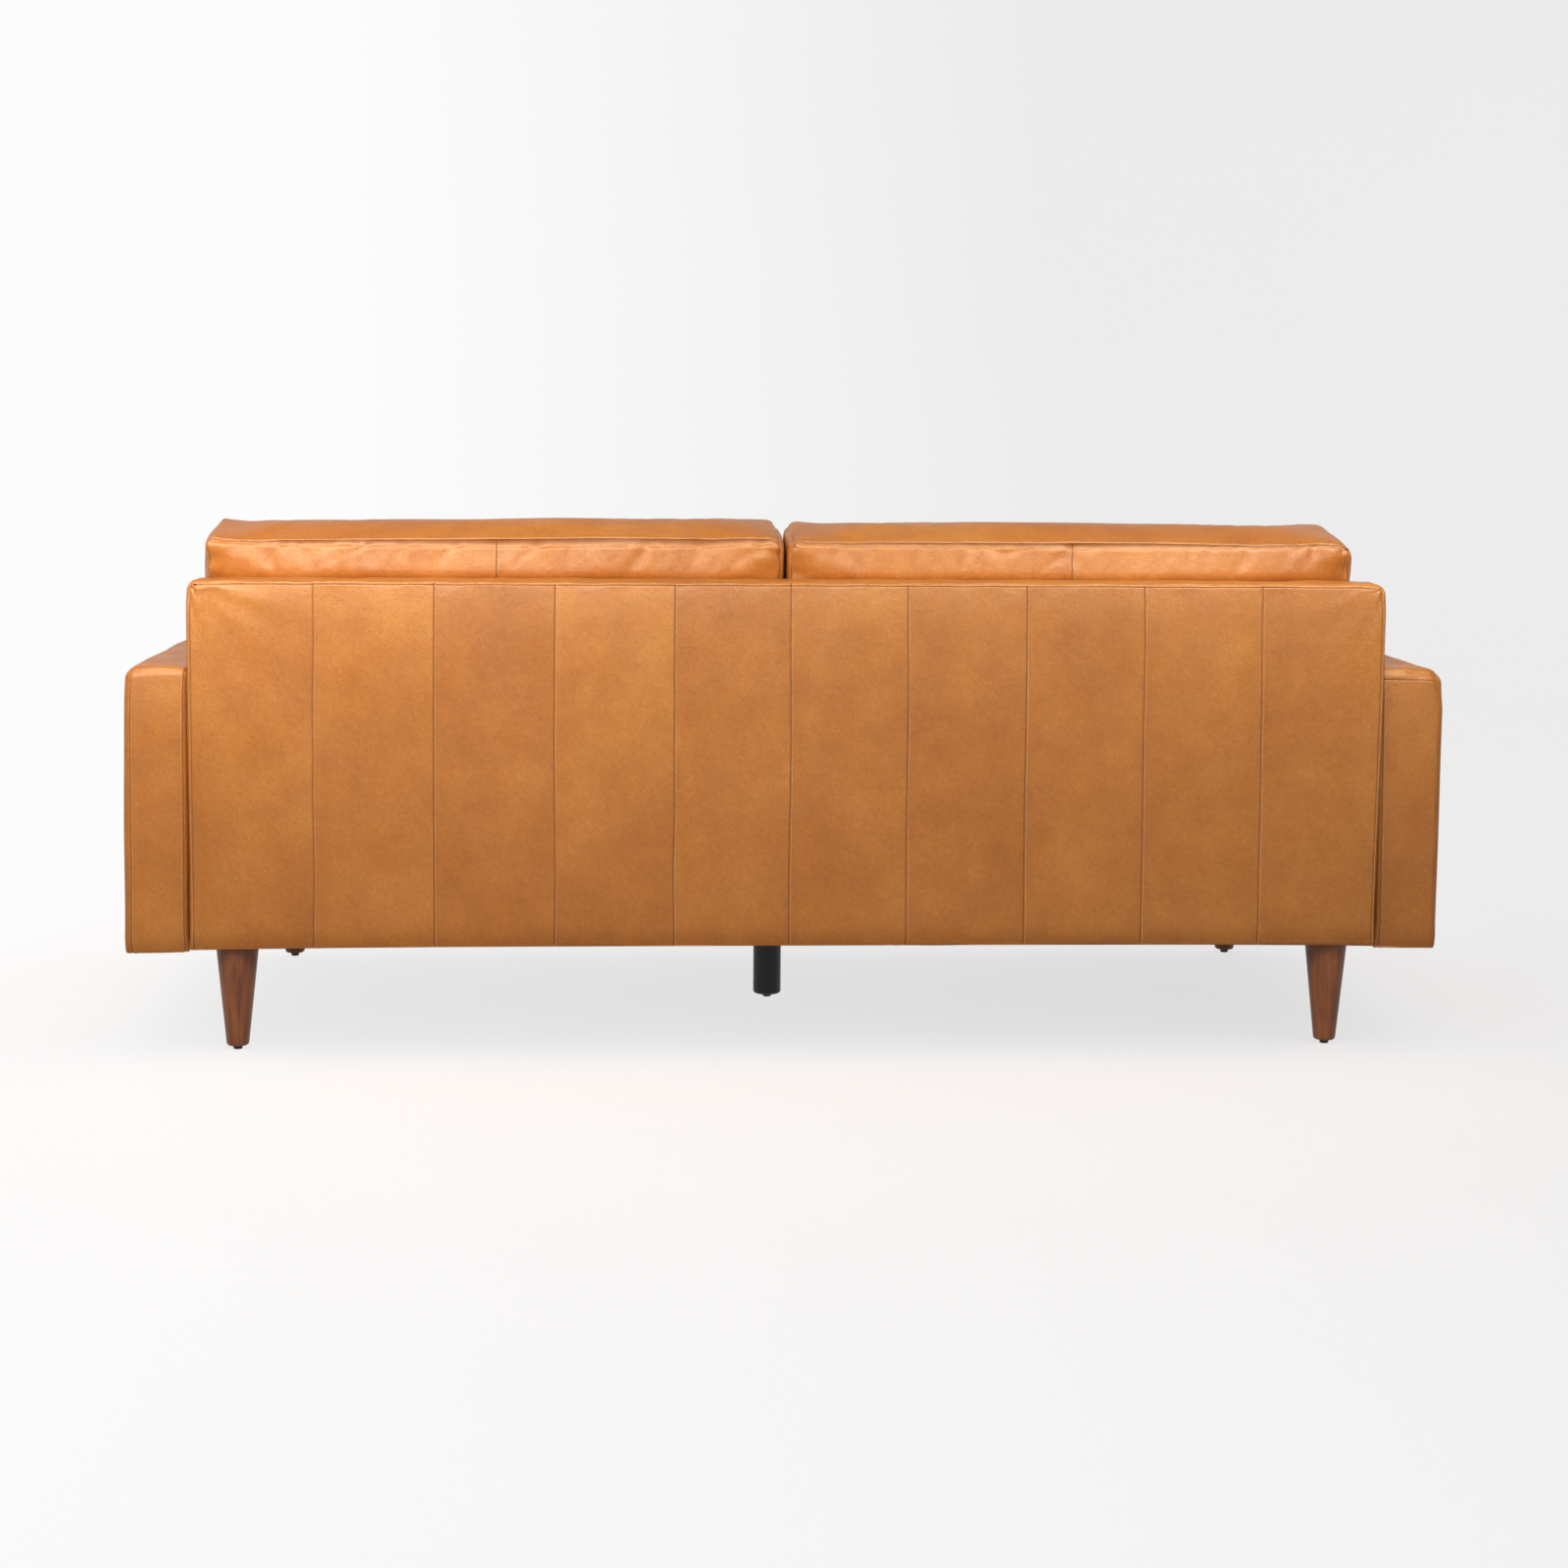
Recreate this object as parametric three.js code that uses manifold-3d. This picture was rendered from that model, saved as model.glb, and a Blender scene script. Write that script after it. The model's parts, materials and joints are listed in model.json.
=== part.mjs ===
// A leather sofa with two seat cushions, two back cushions, track arms and turned wooden legs.
//
// Millimetres, +Z up. The origin is on the floor under the middle of the sofa, the seat faces -Y,
// and +X is the sitter's left. Left and right are always the sitter's.
//
// The hardwood frame stands on four tapered corner legs and one straight support leg. It carries
// sinuous springs, a padded deck, two padded arms and a padded back whose front leans back. The
// cushions are foam cores in zipped leather covers, loose on the deck and against the back.

import * as THREE from "three";
import { mergeVertices } from "three/addons/utils/BufferGeometryUtils.js";
import Module from "manifold-3d";

// ---- Driving dimensions ----

const WIDTH = 2185;
const DEPTH = 915;
const HEM_Z = 172; // lower edge of the upholstery
const FIT = 0.3; // clearance between pieces that touch
const DECK_LIFT = 3; // from the rails to the deck, for the spring strips
const CUSHION_REST_GAP = 2; // from a cushion to what it rests on
const SEWN_GAP = 1.5; // clearance round loose and sewn soft pieces

const ARM_WIDTH = 108;
const ARM_TOP_Z = 637;
const ARM_HEM_Z = HEM_Z - 7; // the arms hang a little below the back and the border
const ARM_SET_IN = 12; // the arm stops this far short of the outside back
const ARM_PADDING = 12;
const ARM_OUTER_RADIUS = 28;
const ARM_INNER_RADIUS = 12;
const ARM_CORNER_RADIUS = 14;
const ARM_INNER_CORNER_RADIUS = 5;
const PADDING_CLEARANCE = 2; // between the padding and the wood inside it

const BACK_TOP_Z = 782;
const BACK_TOP_DEPTH = 95;
const BACK_PADDING = 10;
const BACK_EDGE_RADIUS = 9;
const BACK_CORNER_RADIUS = 18;
const RECLINE = THREE.MathUtils.degToRad(10);

const RAIL_BOTTOM_Z = 180;
const RAIL_TOP_Z = 288;
const RAIL_THICKNESS = 25;
const DECK_TOP_Z = 300;
const DECK_REAR_Y = 270;
const BORDER_THICKNESS = 8;
const FRONT_SET_IN = 8.5; // front border and seat cushions stand this far behind the arm fronts

const SEAT_CUSHION_HEIGHT = 150;
const SEAT_CUSHION_REAR_Y = 274;
const BACK_CUSHION_THICKNESS = 170;
const BACK_CUSHION_TOP_Z = 845; // at its rear edge
const CUSHION_GAP = 1; // from the middle of the sofa to a cushion's side
const CUSHION_EDGE_RADIUS = 26; // along the long edges
const CUSHION_END_RADIUS = 18; // round the two ends
const COVER_THICKNESS = 6;

const ZIP_LENGTH = 860;
const ZIP_WIDTH = 20;
const ZIP_TAPE_THICKNESS = 1.6;
const PULL_LENGTH = 9;
const PULL_WIDTH = 14;
const PULL_THICKNESS = 3;

const LEG_X = 912;
const LEG_FROM_BACK = 48;
const LEG_SPACING_Y = 800;
const LEG_TOP_Z = 178.2;
const LEG_TOP_RADIUS = 35.5;
const LEG_FOOT_RADIUS = 18.6;
const SUPPORT_X = 14; // the middle rail, post and support leg stand just off the centre line
const SUPPORT_RADIUS = 25;
const GLIDE_RADIUS = 7.5;
const GLIDE_HEIGHT = 6;
const GLIDE_STEM_RADIUS = 3;
const GLIDE_STEM_LENGTH = 14;
const BOLT_RADIUS = 4;
const BOLT_LENGTH = 80;
const BOLT_IN_LEG = 40;

const SPRINGS_PER_SEAT = 3;
const SPRING_WIRE = 3.6;
const SPRING_HALF_WIDTH = 25;
const SPRING_WAVES = 12;
const SPRING_STEPS_PER_WAVE = 6;
const STRIP_THICKNESS = 3;

// ---- Planes that several pieces share ----

const SIDES = { left: 1, right: -1 };
const REAR_Y = DEPTH / 2;
const FRONT_Y = -DEPTH / 2;
const ARM_INNER_X = WIDTH / 2 - ARM_WIDTH;
const ARM_REAR_Y = REAR_Y - ARM_SET_IN;
const ARM_FRAME_INNER_X = ARM_INNER_X + ARM_PADDING + PADDING_CLEARANCE;
const SEAT_FRONT_Y = FRONT_Y + FRONT_SET_IN;
const BODY_HALF_WIDTH = ARM_INNER_X - 0.5;
const RAIL_END_GAP = 9; // from the rails' ends to the cover's
const RAIL_HALF_WIDTH = BODY_HALF_WIDTH - RAIL_END_GAP;
const RAIL_FRONT_Y = SEAT_FRONT_Y + BORDER_THICKNESS + 1;
const RAIL_REAR_Y = REAR_Y - BACK_PADDING - 0.5;
const INSIDE_RAILS_X = RAIL_HALF_WIDTH - RAIL_THICKNESS;
const INSIDE_FRONT_Y = RAIL_FRONT_Y + RAIL_THICKNESS;
const INSIDE_REAR_Y = RAIL_REAR_Y - RAIL_THICKNESS;
const REAR_LEG_Y = REAR_Y - LEG_FROM_BACK;
const FRONT_LEG_Y = REAR_LEG_Y - LEG_SPACING_Y;
const MIDDLE_LEG_Y = REAR_LEG_Y - LEG_SPACING_Y / 2;
const SEAT_TOP_Z = DECK_TOP_Z + 1 + SEAT_CUSHION_HEIGHT;
const CUSHION_WIDTH = ARM_INNER_X - SEWN_GAP - CUSHION_GAP;
const CUSHION_CENTRE_X = CUSHION_GAP + CUSHION_WIDTH / 2;

// The y of the leaning front of the back at height z.
const backFrontY = (z) =>
  REAR_Y - BACK_TOP_DEPTH - (BACK_TOP_Z - z) * Math.tan(RECLINE);

// ---- Materials ----

const material = (color, roughness, metalness = 0) =>
  new THREE.MeshStandardMaterial({ color, roughness, metalness });
const LEATHER = material(0xc57a35, 0.5);
const WALNUT = material(0x5c3a26, 0.45);
const DARK_WOOD = material(0x2b1d17, 0.5);
const HARDWOOD = material(0xc7a778, 0.7);
const FOAM = material(0xe9dfc2, 0.9);
const DECK_CLOTH = material(0x8b6b47, 0.9);
const DUST_CLOTH = material(0x1c1c1e, 0.95);
const NYLON = material(0x1a1a1a, 0.5);
const STEEL = material(0x8e9094, 0.35, 1);
const ZIP_TAPE = material(0x7a4a22, 0.85);
const ZIP_METAL = material(0x8a7a5a, 0.3, 1);

// ---- Solids ----

const wasm = await Module();
wasm.setup();

function solidFrom(geometry) {
  const bare = geometry.clone();
  bare.deleteAttribute("normal");
  bare.deleteAttribute("uv");
  const merged = mergeVertices(bare, 1e-3);
  const mesh = new wasm.Mesh({
    numProp: 3,
    vertProperties: merged.attributes.position.array,
    triVerts: new Uint32Array(merged.index.array),
  });
  return new wasm.Manifold(mesh);
}

function geometryFrom(solid) {
  const mesh = solid.getMesh();
  const geometry = new THREE.BufferGeometry();
  geometry.setAttribute("position", new THREE.BufferAttribute(mesh.vertProperties, 3));
  geometry.setIndex(new THREE.BufferAttribute(mesh.triVerts, 1));
  geometry.computeVertexNormals();
  return geometry;
}

const cut = (body, ...tools) =>
  geometryFrom(tools.reduce((solid, tool) => solid.subtract(solidFrom(tool)), solidFrom(body)));

const common = (a, b) => geometryFrom(solidFrom(a).intersect(solidFrom(b)));

// A box from its lowest and highest corners.
function boxBetween([x0, y0, z0], [x1, y1, z1]) {
  const box = new THREE.BoxGeometry(x1 - x0, y1 - y0, z1 - z0);
  return box.translate((x0 + x1) / 2, (y0 + y1) / 2, (z0 + z1) / 2);
}

// A solid turned about +Z, from [radius, z] points that start and end on the axis.
function turned(points, segments = 24) {
  const profile = points.map(([radius, z]) => new THREE.Vector2(radius, z));
  return new THREE.LatheGeometry(profile, segments).rotateX(Math.PI / 2);
}

// A closed outline with each corner [a, b, radius] rounded by an arc.
function roundedOutline(corners) {
  const shape = new THREE.Shape();
  corners.forEach(([a, b, radius], i) => {
    const corner = new THREE.Vector2(a, b);
    const before = new THREE.Vector2(...corners.at(i - 1).slice(0, 2)).sub(corner);
    const after = new THREE.Vector2(...corners[(i + 1) % corners.length].slice(0, 2)).sub(corner);
    const half = Math.acos(before.clone().normalize().dot(after.clone().normalize())) / 2;
    const reach = radius / Math.tan(half);
    const start = corner.clone().addScaledVector(before.normalize(), reach);
    const end = corner.clone().addScaledVector(after.normalize(), reach);
    if (i === 0) shape.moveTo(start.x, start.y);
    else shape.lineTo(start.x, start.y);
    if (radius > 0) shape.quadraticCurveTo(a, b, end.x, end.y);
  });
  shape.closePath();
  return shape;
}

// A convex outline's corners moved inwards, so that every side moves by the same distance.
function insetCorners(corners, distance) {
  const inwards = corners.map(([a, b], i) => {
    const next = corners[(i + 1) % corners.length];
    const along = new THREE.Vector2(next[0] - a, next[1] - b).normalize();
    return new THREE.Vector2(-along.y, along.x);
  });
  return corners.map(([a, b, radius], i) => {
    const n1 = inwards.at(i - 1);
    const n2 = inwards[i];
    const shift = n1.clone().add(n2).multiplyScalar(distance / (1 + n1.dot(n2)));
    return [a + shift.x, b + shift.y, Math.max(radius - distance, 0)];
  });
}

const ARC_STEPS = 3;

// An outline in Y and Z, drawn out along X and centred on x = 0.
function drawnAlongX(shape, width, edgeRadius = 0) {
  const solid = new THREE.ExtrudeGeometry(shape, {
    depth: width - 2 * edgeRadius,
    curveSegments: ARC_STEPS,
    bevelEnabled: edgeRadius > 0,
    bevelThickness: edgeRadius,
    bevelSize: edgeRadius,
    bevelOffset: -edgeRadius,
    bevelSegments: ARC_STEPS,
  });
  const axes = new THREE.Matrix4().makeBasis(
    new THREE.Vector3(0, 1, 0),
    new THREE.Vector3(0, 0, 1),
    new THREE.Vector3(1, 0, 0),
  );
  return solid.translate(0, 0, edgeRadius - width / 2).applyMatrix4(axes);
}

// An outline in X and Z, drawn out along Y from y0 to y1.
function drawnAlongY(shape, y0, y1) {
  const solid = new THREE.ExtrudeGeometry(shape, {
    depth: y1 - y0,
    curveSegments: ARC_STEPS,
    bevelEnabled: false,
  });
  return solid.rotateX(Math.PI / 2).translate(0, y1, 0);
}

// An outline in X and Y, drawn out along Z from z0 to z1.
function drawnAlongZ(shape, z0, z1) {
  const solid = new THREE.ExtrudeGeometry(shape, {
    depth: z1 - z0,
    curveSegments: ARC_STEPS,
    bevelEnabled: false,
  });
  return solid.translate(0, 0, z0);
}

const sofa = new THREE.Group();

function place(parent, name, geometry, look, x = 0, y = 0, z = 0) {
  const mesh = new THREE.Mesh(geometry, look);
  mesh.name = name;
  mesh.position.set(x, y, z);
  parent.add(mesh);
  return mesh;
}

// ---- Legs ----

// The bore that takes a hanger bolt, downwards from a leg's top.
const boltBore = (topZ) => [
  [BOLT_RADIUS + FIT, topZ],
  [BOLT_RADIUS + FIT, topZ - BOLT_IN_LEG - 1],
  [0, topZ - BOLT_IN_LEG - 1],
];

// The bore that takes a glide's stem, upwards from a leg's foot at footZ.
const stemBore = (footZ) => [
  [0, footZ + GLIDE_STEM_LENGTH + 1],
  [GLIDE_STEM_RADIUS + FIT, footZ + GLIDE_STEM_LENGTH + 1],
  [GLIDE_STEM_RADIUS + FIT, footZ],
];

function cornerLeg() {
  const foot = GLIDE_HEIGHT + FIT;
  return turned([
    ...stemBore(foot),
    [LEG_FOOT_RADIUS - 3.5, foot],
    [LEG_FOOT_RADIUS - 1.2, foot + 1],
    [LEG_FOOT_RADIUS, foot + 4],
    [LEG_TOP_RADIUS, LEG_TOP_Z],
    ...boltBore(LEG_TOP_Z),
  ]);
}

function supportLeg() {
  const foot = GLIDE_HEIGHT + FIT;
  return turned([
    ...stemBore(foot),
    [SUPPORT_RADIUS - 4, foot],
    [SUPPORT_RADIUS - 1.2, foot + 1.2],
    [SUPPORT_RADIUS, foot + 4],
    [SUPPORT_RADIUS, LEG_TOP_Z],
    ...boltBore(LEG_TOP_Z),
  ]);
}

const glide = () =>
  turned(
    [
      [0, 0],
      [GLIDE_RADIUS - 1, 0],
      [GLIDE_RADIUS, 1],
      [GLIDE_RADIUS, GLIDE_HEIGHT],
      [GLIDE_STEM_RADIUS, GLIDE_HEIGHT],
      [GLIDE_STEM_RADIUS, GLIDE_HEIGHT + GLIDE_STEM_LENGTH],
      [0, GLIDE_HEIGHT + GLIDE_STEM_LENGTH],
    ],
    16,
  );

function hangerBolt() {
  const bolt = new THREE.CylinderGeometry(BOLT_RADIUS, BOLT_RADIUS, BOLT_LENGTH, 12);
  return bolt.rotateX(Math.PI / 2);
}

function addLeg(name, legGeometry, look, x, y) {
  const leg = new THREE.Group();
  leg.position.set(x, y, 0);
  place(leg, `${name}_leg`, legGeometry, look);
  place(leg, `${name}_glide`, glide(), NYLON);
  const boltZ = LEG_TOP_Z - BOLT_IN_LEG + BOLT_LENGTH / 2;
  place(leg, `${name}_hanger_bolt`, hangerBolt(), STEEL, 0, 0, boltZ);
  sofa.add(leg);
}

for (const [side, sign] of Object.entries(SIDES)) {
  addLeg(`front_${side}`, cornerLeg(), WALNUT, sign * LEG_X, FRONT_LEG_Y);
  addLeg(`rear_${side}`, cornerLeg(), WALNUT, sign * LEG_X, REAR_LEG_Y);
}
addLeg("middle_support", supportLeg(), DARK_WOOD, SUPPORT_X, MIDDLE_LEG_Y);

// ---- Seat frame ----

// The hole that a hanger bolt passes through, centred on the leg's axis.
function boltHole(x, y, z0, z1) {
  const hole = new THREE.CylinderGeometry(BOLT_RADIUS + FIT, BOLT_RADIUS + FIT, z1 - z0, 12);
  return hole.rotateX(Math.PI / 2).translate(x, y, (z0 + z1) / 2);
}

const BOLT_TOP_Z = LEG_TOP_Z - BOLT_IN_LEG + BOLT_LENGTH;
const BLOCK_WIDTH = 74;
const BLOCK_HEIGHT = 60;

function addRails() {
  place(
    sofa,
    "front_rail",
    boxBetween(
      [-RAIL_HALF_WIDTH, RAIL_FRONT_Y, RAIL_BOTTOM_Z],
      [RAIL_HALF_WIDTH, INSIDE_FRONT_Y, RAIL_TOP_Z],
    ),
    HARDWOOD,
  );
  place(
    sofa,
    "rear_rail",
    boxBetween(
      [-RAIL_HALF_WIDTH, INSIDE_REAR_Y, RAIL_BOTTOM_Z],
      [RAIL_HALF_WIDTH, RAIL_REAR_Y, RAIL_TOP_Z],
    ),
    HARDWOOD,
  );
  // The side rails pass through the arm covers to meet the arm frames.
  const sideRailThickness = ARM_FRAME_INNER_X - FIT - INSIDE_RAILS_X;
  for (const [side, sign] of Object.entries(SIDES)) {
    const x = sign * (INSIDE_RAILS_X + sideRailThickness / 2);
    place(sofa, `${side}_side_rail`, railBetween(sideRailThickness), HARDWOOD, x);
  }
  const bored = cut(
    railBetween(RAIL_THICKNESS),
    boltHole(0, MIDDLE_LEG_Y, RAIL_BOTTOM_Z - 1, BOLT_TOP_Z + 1),
  );
  place(sofa, "middle_rail", bored, HARDWOOD, SUPPORT_X);
}

// A rail that runs from the front rail to the rear rail, centred on x = 0.
function railBetween(thickness) {
  return boxBetween(
    [-thickness / 2, INSIDE_FRONT_Y + FIT, RAIL_BOTTOM_Z],
    [thickness / 2, INSIDE_REAR_Y - FIT, RAIL_TOP_Z],
  );
}

// A block glued into a corner of the rails, bored for the leg's hanger bolt.
function addCornerBlock(name, sign, y0, y1, legY) {
  const outerX = INSIDE_RAILS_X - FIT;
  const innerX = outerX - BLOCK_WIDTH;
  const block = boxBetween(
    [Math.min(sign * innerX, sign * outerX), y0, RAIL_BOTTOM_Z],
    [Math.max(sign * innerX, sign * outerX), y1, RAIL_BOTTOM_Z + BLOCK_HEIGHT],
  );
  const hole = boltHole(sign * LEG_X, legY, RAIL_BOTTOM_Z - 1, BOLT_TOP_Z + 1);
  place(sofa, name, cut(block, hole), HARDWOOD);
}

function addCornerBlocks() {
  const frontY = INSIDE_FRONT_Y + FIT;
  const rearY = INSIDE_REAR_Y - FIT;
  for (const [side, sign] of Object.entries(SIDES)) {
    addCornerBlock(`front_${side}_block`, sign, frontY, frontY + BLOCK_WIDTH, FRONT_LEG_Y);
    addCornerBlock(`rear_${side}_block`, sign, rearY - BLOCK_WIDTH, rearY, REAR_LEG_Y);
  }
}

addRails();
addCornerBlocks();

// ---- Springs, deck and covers of the seat box ----

class SpringLine extends THREE.Curve {
  constructor(y0, y1) {
    super();
    this.y0 = y0;
    this.y1 = y1;
  }
  getPoint(t, target = new THREE.Vector3()) {
    const swing = SPRING_HALF_WIDTH * Math.sin(2 * Math.PI * SPRING_WAVES * t);
    return target.set(swing, this.y0 + (this.y1 - this.y0) * t, 0);
  }
}

const STRIP_Z = 276;
const STRIP_HEIGHT = 16;
const STRIP_LIFT = 2; // how far the strips stand above the rails
const STRIP_HALF_LENGTH = RAIL_HALF_WIDTH - 60;

function addSprings() {
  const endClearance = FIT + STRIP_THICKNESS + SPRING_WIRE / 2 + FIT;
  const wire = roundedOutline([
    [-SPRING_WIRE / 2, -SPRING_WIRE / 2, 0],
    [SPRING_WIRE / 2, -SPRING_WIRE / 2, 0],
    [SPRING_WIRE / 2, SPRING_WIRE / 2, 0],
    [-SPRING_WIRE / 2, SPRING_WIRE / 2, 0],
  ]);
  const spring = new THREE.ExtrudeGeometry(wire, {
    extrudePath: new SpringLine(INSIDE_FRONT_Y + endClearance, INSIDE_REAR_Y - endClearance),
    steps: SPRING_WAVES * SPRING_STEPS_PER_WAVE,
    bevelEnabled: false,
  });
  const spacing = (INSIDE_RAILS_X - SUPPORT_X) / SPRINGS_PER_SEAT;
  for (const [side, sign] of Object.entries(SIDES)) {
    for (let i = 0; i < SPRINGS_PER_SEAT; i++) {
      const x = sign * spacing * (i + 0.5) + SUPPORT_X;
      place(sofa, `${side}_seat_spring_${i + 1}`, spring, STEEL, x, 0, STRIP_Z);
    }
  }
}

// The strips carry the spring ends on the inner faces of the front and rear rails. Each stops
// short of the corners, and has a notch that clears the middle rail.
function addSpringStrips() {
  const ends = {
    front_spring_strip: INSIDE_FRONT_Y + FIT,
    rear_spring_strip: INSIDE_REAR_Y - FIT - STRIP_THICKNESS,
  };
  const notchHalf = RAIL_THICKNESS / 2 + FIT;
  for (const [name, y] of Object.entries(ends)) {
    const strip = boxBetween(
      [-STRIP_HALF_LENGTH, y, STRIP_Z - STRIP_HEIGHT / 2],
      [STRIP_HALF_LENGTH, y + STRIP_THICKNESS, RAIL_TOP_Z + STRIP_LIFT],
    );
    const notch = boxBetween(
      [SUPPORT_X - notchHalf, y - 1, 0],
      [SUPPORT_X + notchHalf, y + STRIP_THICKNESS + 1, RAIL_TOP_Z + FIT],
    );
    place(sofa, name, cut(strip, notch), STEEL);
  }
}

// The padded cloth that the seat cushions lie on.
function addDeck() {
  const deck = boxBetween(
    [-RAIL_HALF_WIDTH, RAIL_FRONT_Y, RAIL_TOP_Z + DECK_LIFT],
    [RAIL_HALF_WIDTH, DECK_REAR_Y, DECK_TOP_Z],
  );
  place(sofa, "seat_deck", deck, DECK_CLOTH);
}

// The padded leather panel across the front of the seat box, between the arms.
function addFrontBorder() {
  const corners = [
    [SEAT_FRONT_Y, HEM_Z, 3],
    [SEAT_FRONT_Y + BORDER_THICKNESS, HEM_Z, 0],
    [SEAT_FRONT_Y + BORDER_THICKNESS, DECK_TOP_Z, 0],
    [SEAT_FRONT_Y, DECK_TOP_Z, 6],
  ];
  const border = drawnAlongX(roundedOutline(corners), 2 * BODY_HALF_WIDTH);
  place(sofa, "front_border", border, LEATHER);
}

// The thin black cloth stapled under the seat box, with a hole for each hanger bolt.
function addDustCover() {
  const z0 = LEG_TOP_Z + FIT;
  const z1 = RAIL_BOTTOM_Z - FIT;
  const sheet = boxBetween(
    [-RAIL_HALF_WIDTH, RAIL_FRONT_Y, z0],
    [RAIL_HALF_WIDTH, RAIL_REAR_Y, z1],
  );
  const holes = [boltHole(SUPPORT_X, MIDDLE_LEG_Y, z0 - 1, z1 + 1)];
  for (const sign of Object.values(SIDES)) {
    holes.push(boltHole(sign * LEG_X, FRONT_LEG_Y, z0 - 1, z1 + 1));
    holes.push(boltHole(sign * LEG_X, REAR_LEG_Y, z0 - 1, z1 + 1));
  }
  place(sofa, "dust_cover", cut(sheet, ...holes), DUST_CLOTH);
}

addSprings();
addSpringStrips();
addDeck();
addFrontBorder();
addDustCover();

// ---- Arms ----

// The leather cover with its padding: a box with soft edges, open at the bottom and where the
// side rail passes through its inner wall.
function armCover(sign) {
  const inner = sign * ARM_INNER_X;
  const outer = (sign * WIDTH) / 2;
  const across = [
    [inner, ARM_HEM_Z, 0],
    [outer, ARM_HEM_Z, 0],
    [outer, ARM_TOP_Z, ARM_OUTER_RADIUS],
    [inner, ARM_TOP_Z, ARM_INNER_RADIUS],
  ];
  const plan = [
    [inner, FRONT_Y, ARM_INNER_CORNER_RADIUS],
    [outer, FRONT_Y, ARM_CORNER_RADIUS],
    [outer, ARM_REAR_Y, ARM_CORNER_RADIUS],
    [inner, ARM_REAR_Y, ARM_INNER_CORNER_RADIUS],
  ];
  if (sign < 0) {
    across.reverse();
    plan.reverse();
  }
  const block = common(
    drawnAlongY(roundedOutline(across), FRONT_Y - 1, ARM_REAR_Y + 1),
    drawnAlongZ(roundedOutline(plan), ARM_HEM_Z, ARM_TOP_Z + 1),
  );
  const hollow = boxBetween(
    [Math.min(inner, outer) + ARM_PADDING, FRONT_Y + ARM_PADDING, ARM_HEM_Z - 1],
    [Math.max(inner, outer) - ARM_PADDING, ARM_REAR_Y - ARM_PADDING, ARM_TOP_Z - ARM_PADDING],
  );
  const railPassage = boxBetween(
    [Math.min(inner, sign * ARM_FRAME_INNER_X) - 1, INSIDE_FRONT_Y, ARM_HEM_Z - 1],
    [Math.max(inner, sign * ARM_FRAME_INNER_X) + 1, INSIDE_REAR_Y, RAIL_TOP_Z + FIT],
  );
  return cut(block, hollow, railPassage);
}

const ARM_FRAME_MEMBER = 50;
const ARM_FRAME_SOLE = 130; // the lowest member, which the side rail is glued and screwed to
const ARM_FRAME_WINDOWS = 4;

// The ladder frame inside an arm, with a row of windows between its members.
function armFrame() {
  const y0 = FRONT_Y + ARM_PADDING + PADDING_CLEARANCE;
  const y1 = ARM_REAR_Y - ARM_PADDING - PADDING_CLEARANCE;
  const z0 = RAIL_BOTTOM_Z;
  const z1 = ARM_TOP_Z - ARM_PADDING - PADDING_CLEARANCE;
  const half = ARM_WIDTH / 2 - ARM_PADDING - PADDING_CLEARANCE;
  const pitch = (y1 - y0 - ARM_FRAME_MEMBER) / ARM_FRAME_WINDOWS;
  const windows = Array.from({ length: ARM_FRAME_WINDOWS }, (_, i) =>
    boxBetween(
      [-half - 1, y0 + ARM_FRAME_MEMBER + i * pitch, z0 + ARM_FRAME_SOLE],
      [half + 1, y0 + (i + 1) * pitch, z1 - ARM_FRAME_MEMBER],
    ),
  );
  return cut(boxBetween([-half, y0, z0], [half, y1, z1]), ...windows);
}

for (const [side, sign] of Object.entries(SIDES)) {
  place(sofa, `${side}_arm_cover`, armCover(sign), LEATHER);
  const middleX = sign * (ARM_INNER_X + ARM_WIDTH / 2);
  place(sofa, `${side}_arm_frame`, armFrame(), HARDWOOD, middleX);
}

// ---- Back ----

const BACK_FRONT_FOOT_Z = DECK_TOP_Z + 3;

// The padded leather cover of the back: the outside back hangs to the hem, the leaning inside
// back stops at the deck, and the space between them is open below.
function backCover() {
  const insideY = REAR_Y - BACK_PADDING;
  const section = [
    [REAR_Y, HEM_Z, 3],
    [REAR_Y, BACK_TOP_Z, BACK_EDGE_RADIUS],
    [backFrontY(BACK_TOP_Z), BACK_TOP_Z, BACK_EDGE_RADIUS],
    [backFrontY(BACK_FRONT_FOOT_Z), BACK_FRONT_FOOT_Z, 0],
    [insideY, BACK_FRONT_FOOT_Z, 0],
    [insideY, HEM_Z, 0],
  ];
  const silhouette = [
    [-BODY_HALF_WIDTH, HEM_Z - 1, 0],
    [BODY_HALF_WIDTH, HEM_Z - 1, 0],
    [BODY_HALF_WIDTH, BACK_TOP_Z, BACK_CORNER_RADIUS],
    [-BODY_HALF_WIDTH, BACK_TOP_Z, BACK_CORNER_RADIUS],
  ];
  const slope = BACK_PADDING / Math.cos(RECLINE);
  const topZ = BACK_TOP_Z - BACK_PADDING;
  const footZ = BACK_FRONT_FOOT_Z - 1;
  const cavity = [
    [insideY, footZ, 0],
    [insideY, topZ, 0],
    [backFrontY(topZ) + slope, topZ, 0],
    [backFrontY(footZ) + slope, footZ, 0],
  ];
  const block = common(
    drawnAlongX(roundedOutline(section), 2 * BODY_HALF_WIDTH),
    drawnAlongY(roundedOutline(silhouette), 0, DEPTH),
  );
  const hollowWidth = 2 * (BODY_HALF_WIDTH - BACK_PADDING);
  return cut(block, drawnAlongX(roundedOutline(cavity), hollowWidth));
}

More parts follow.
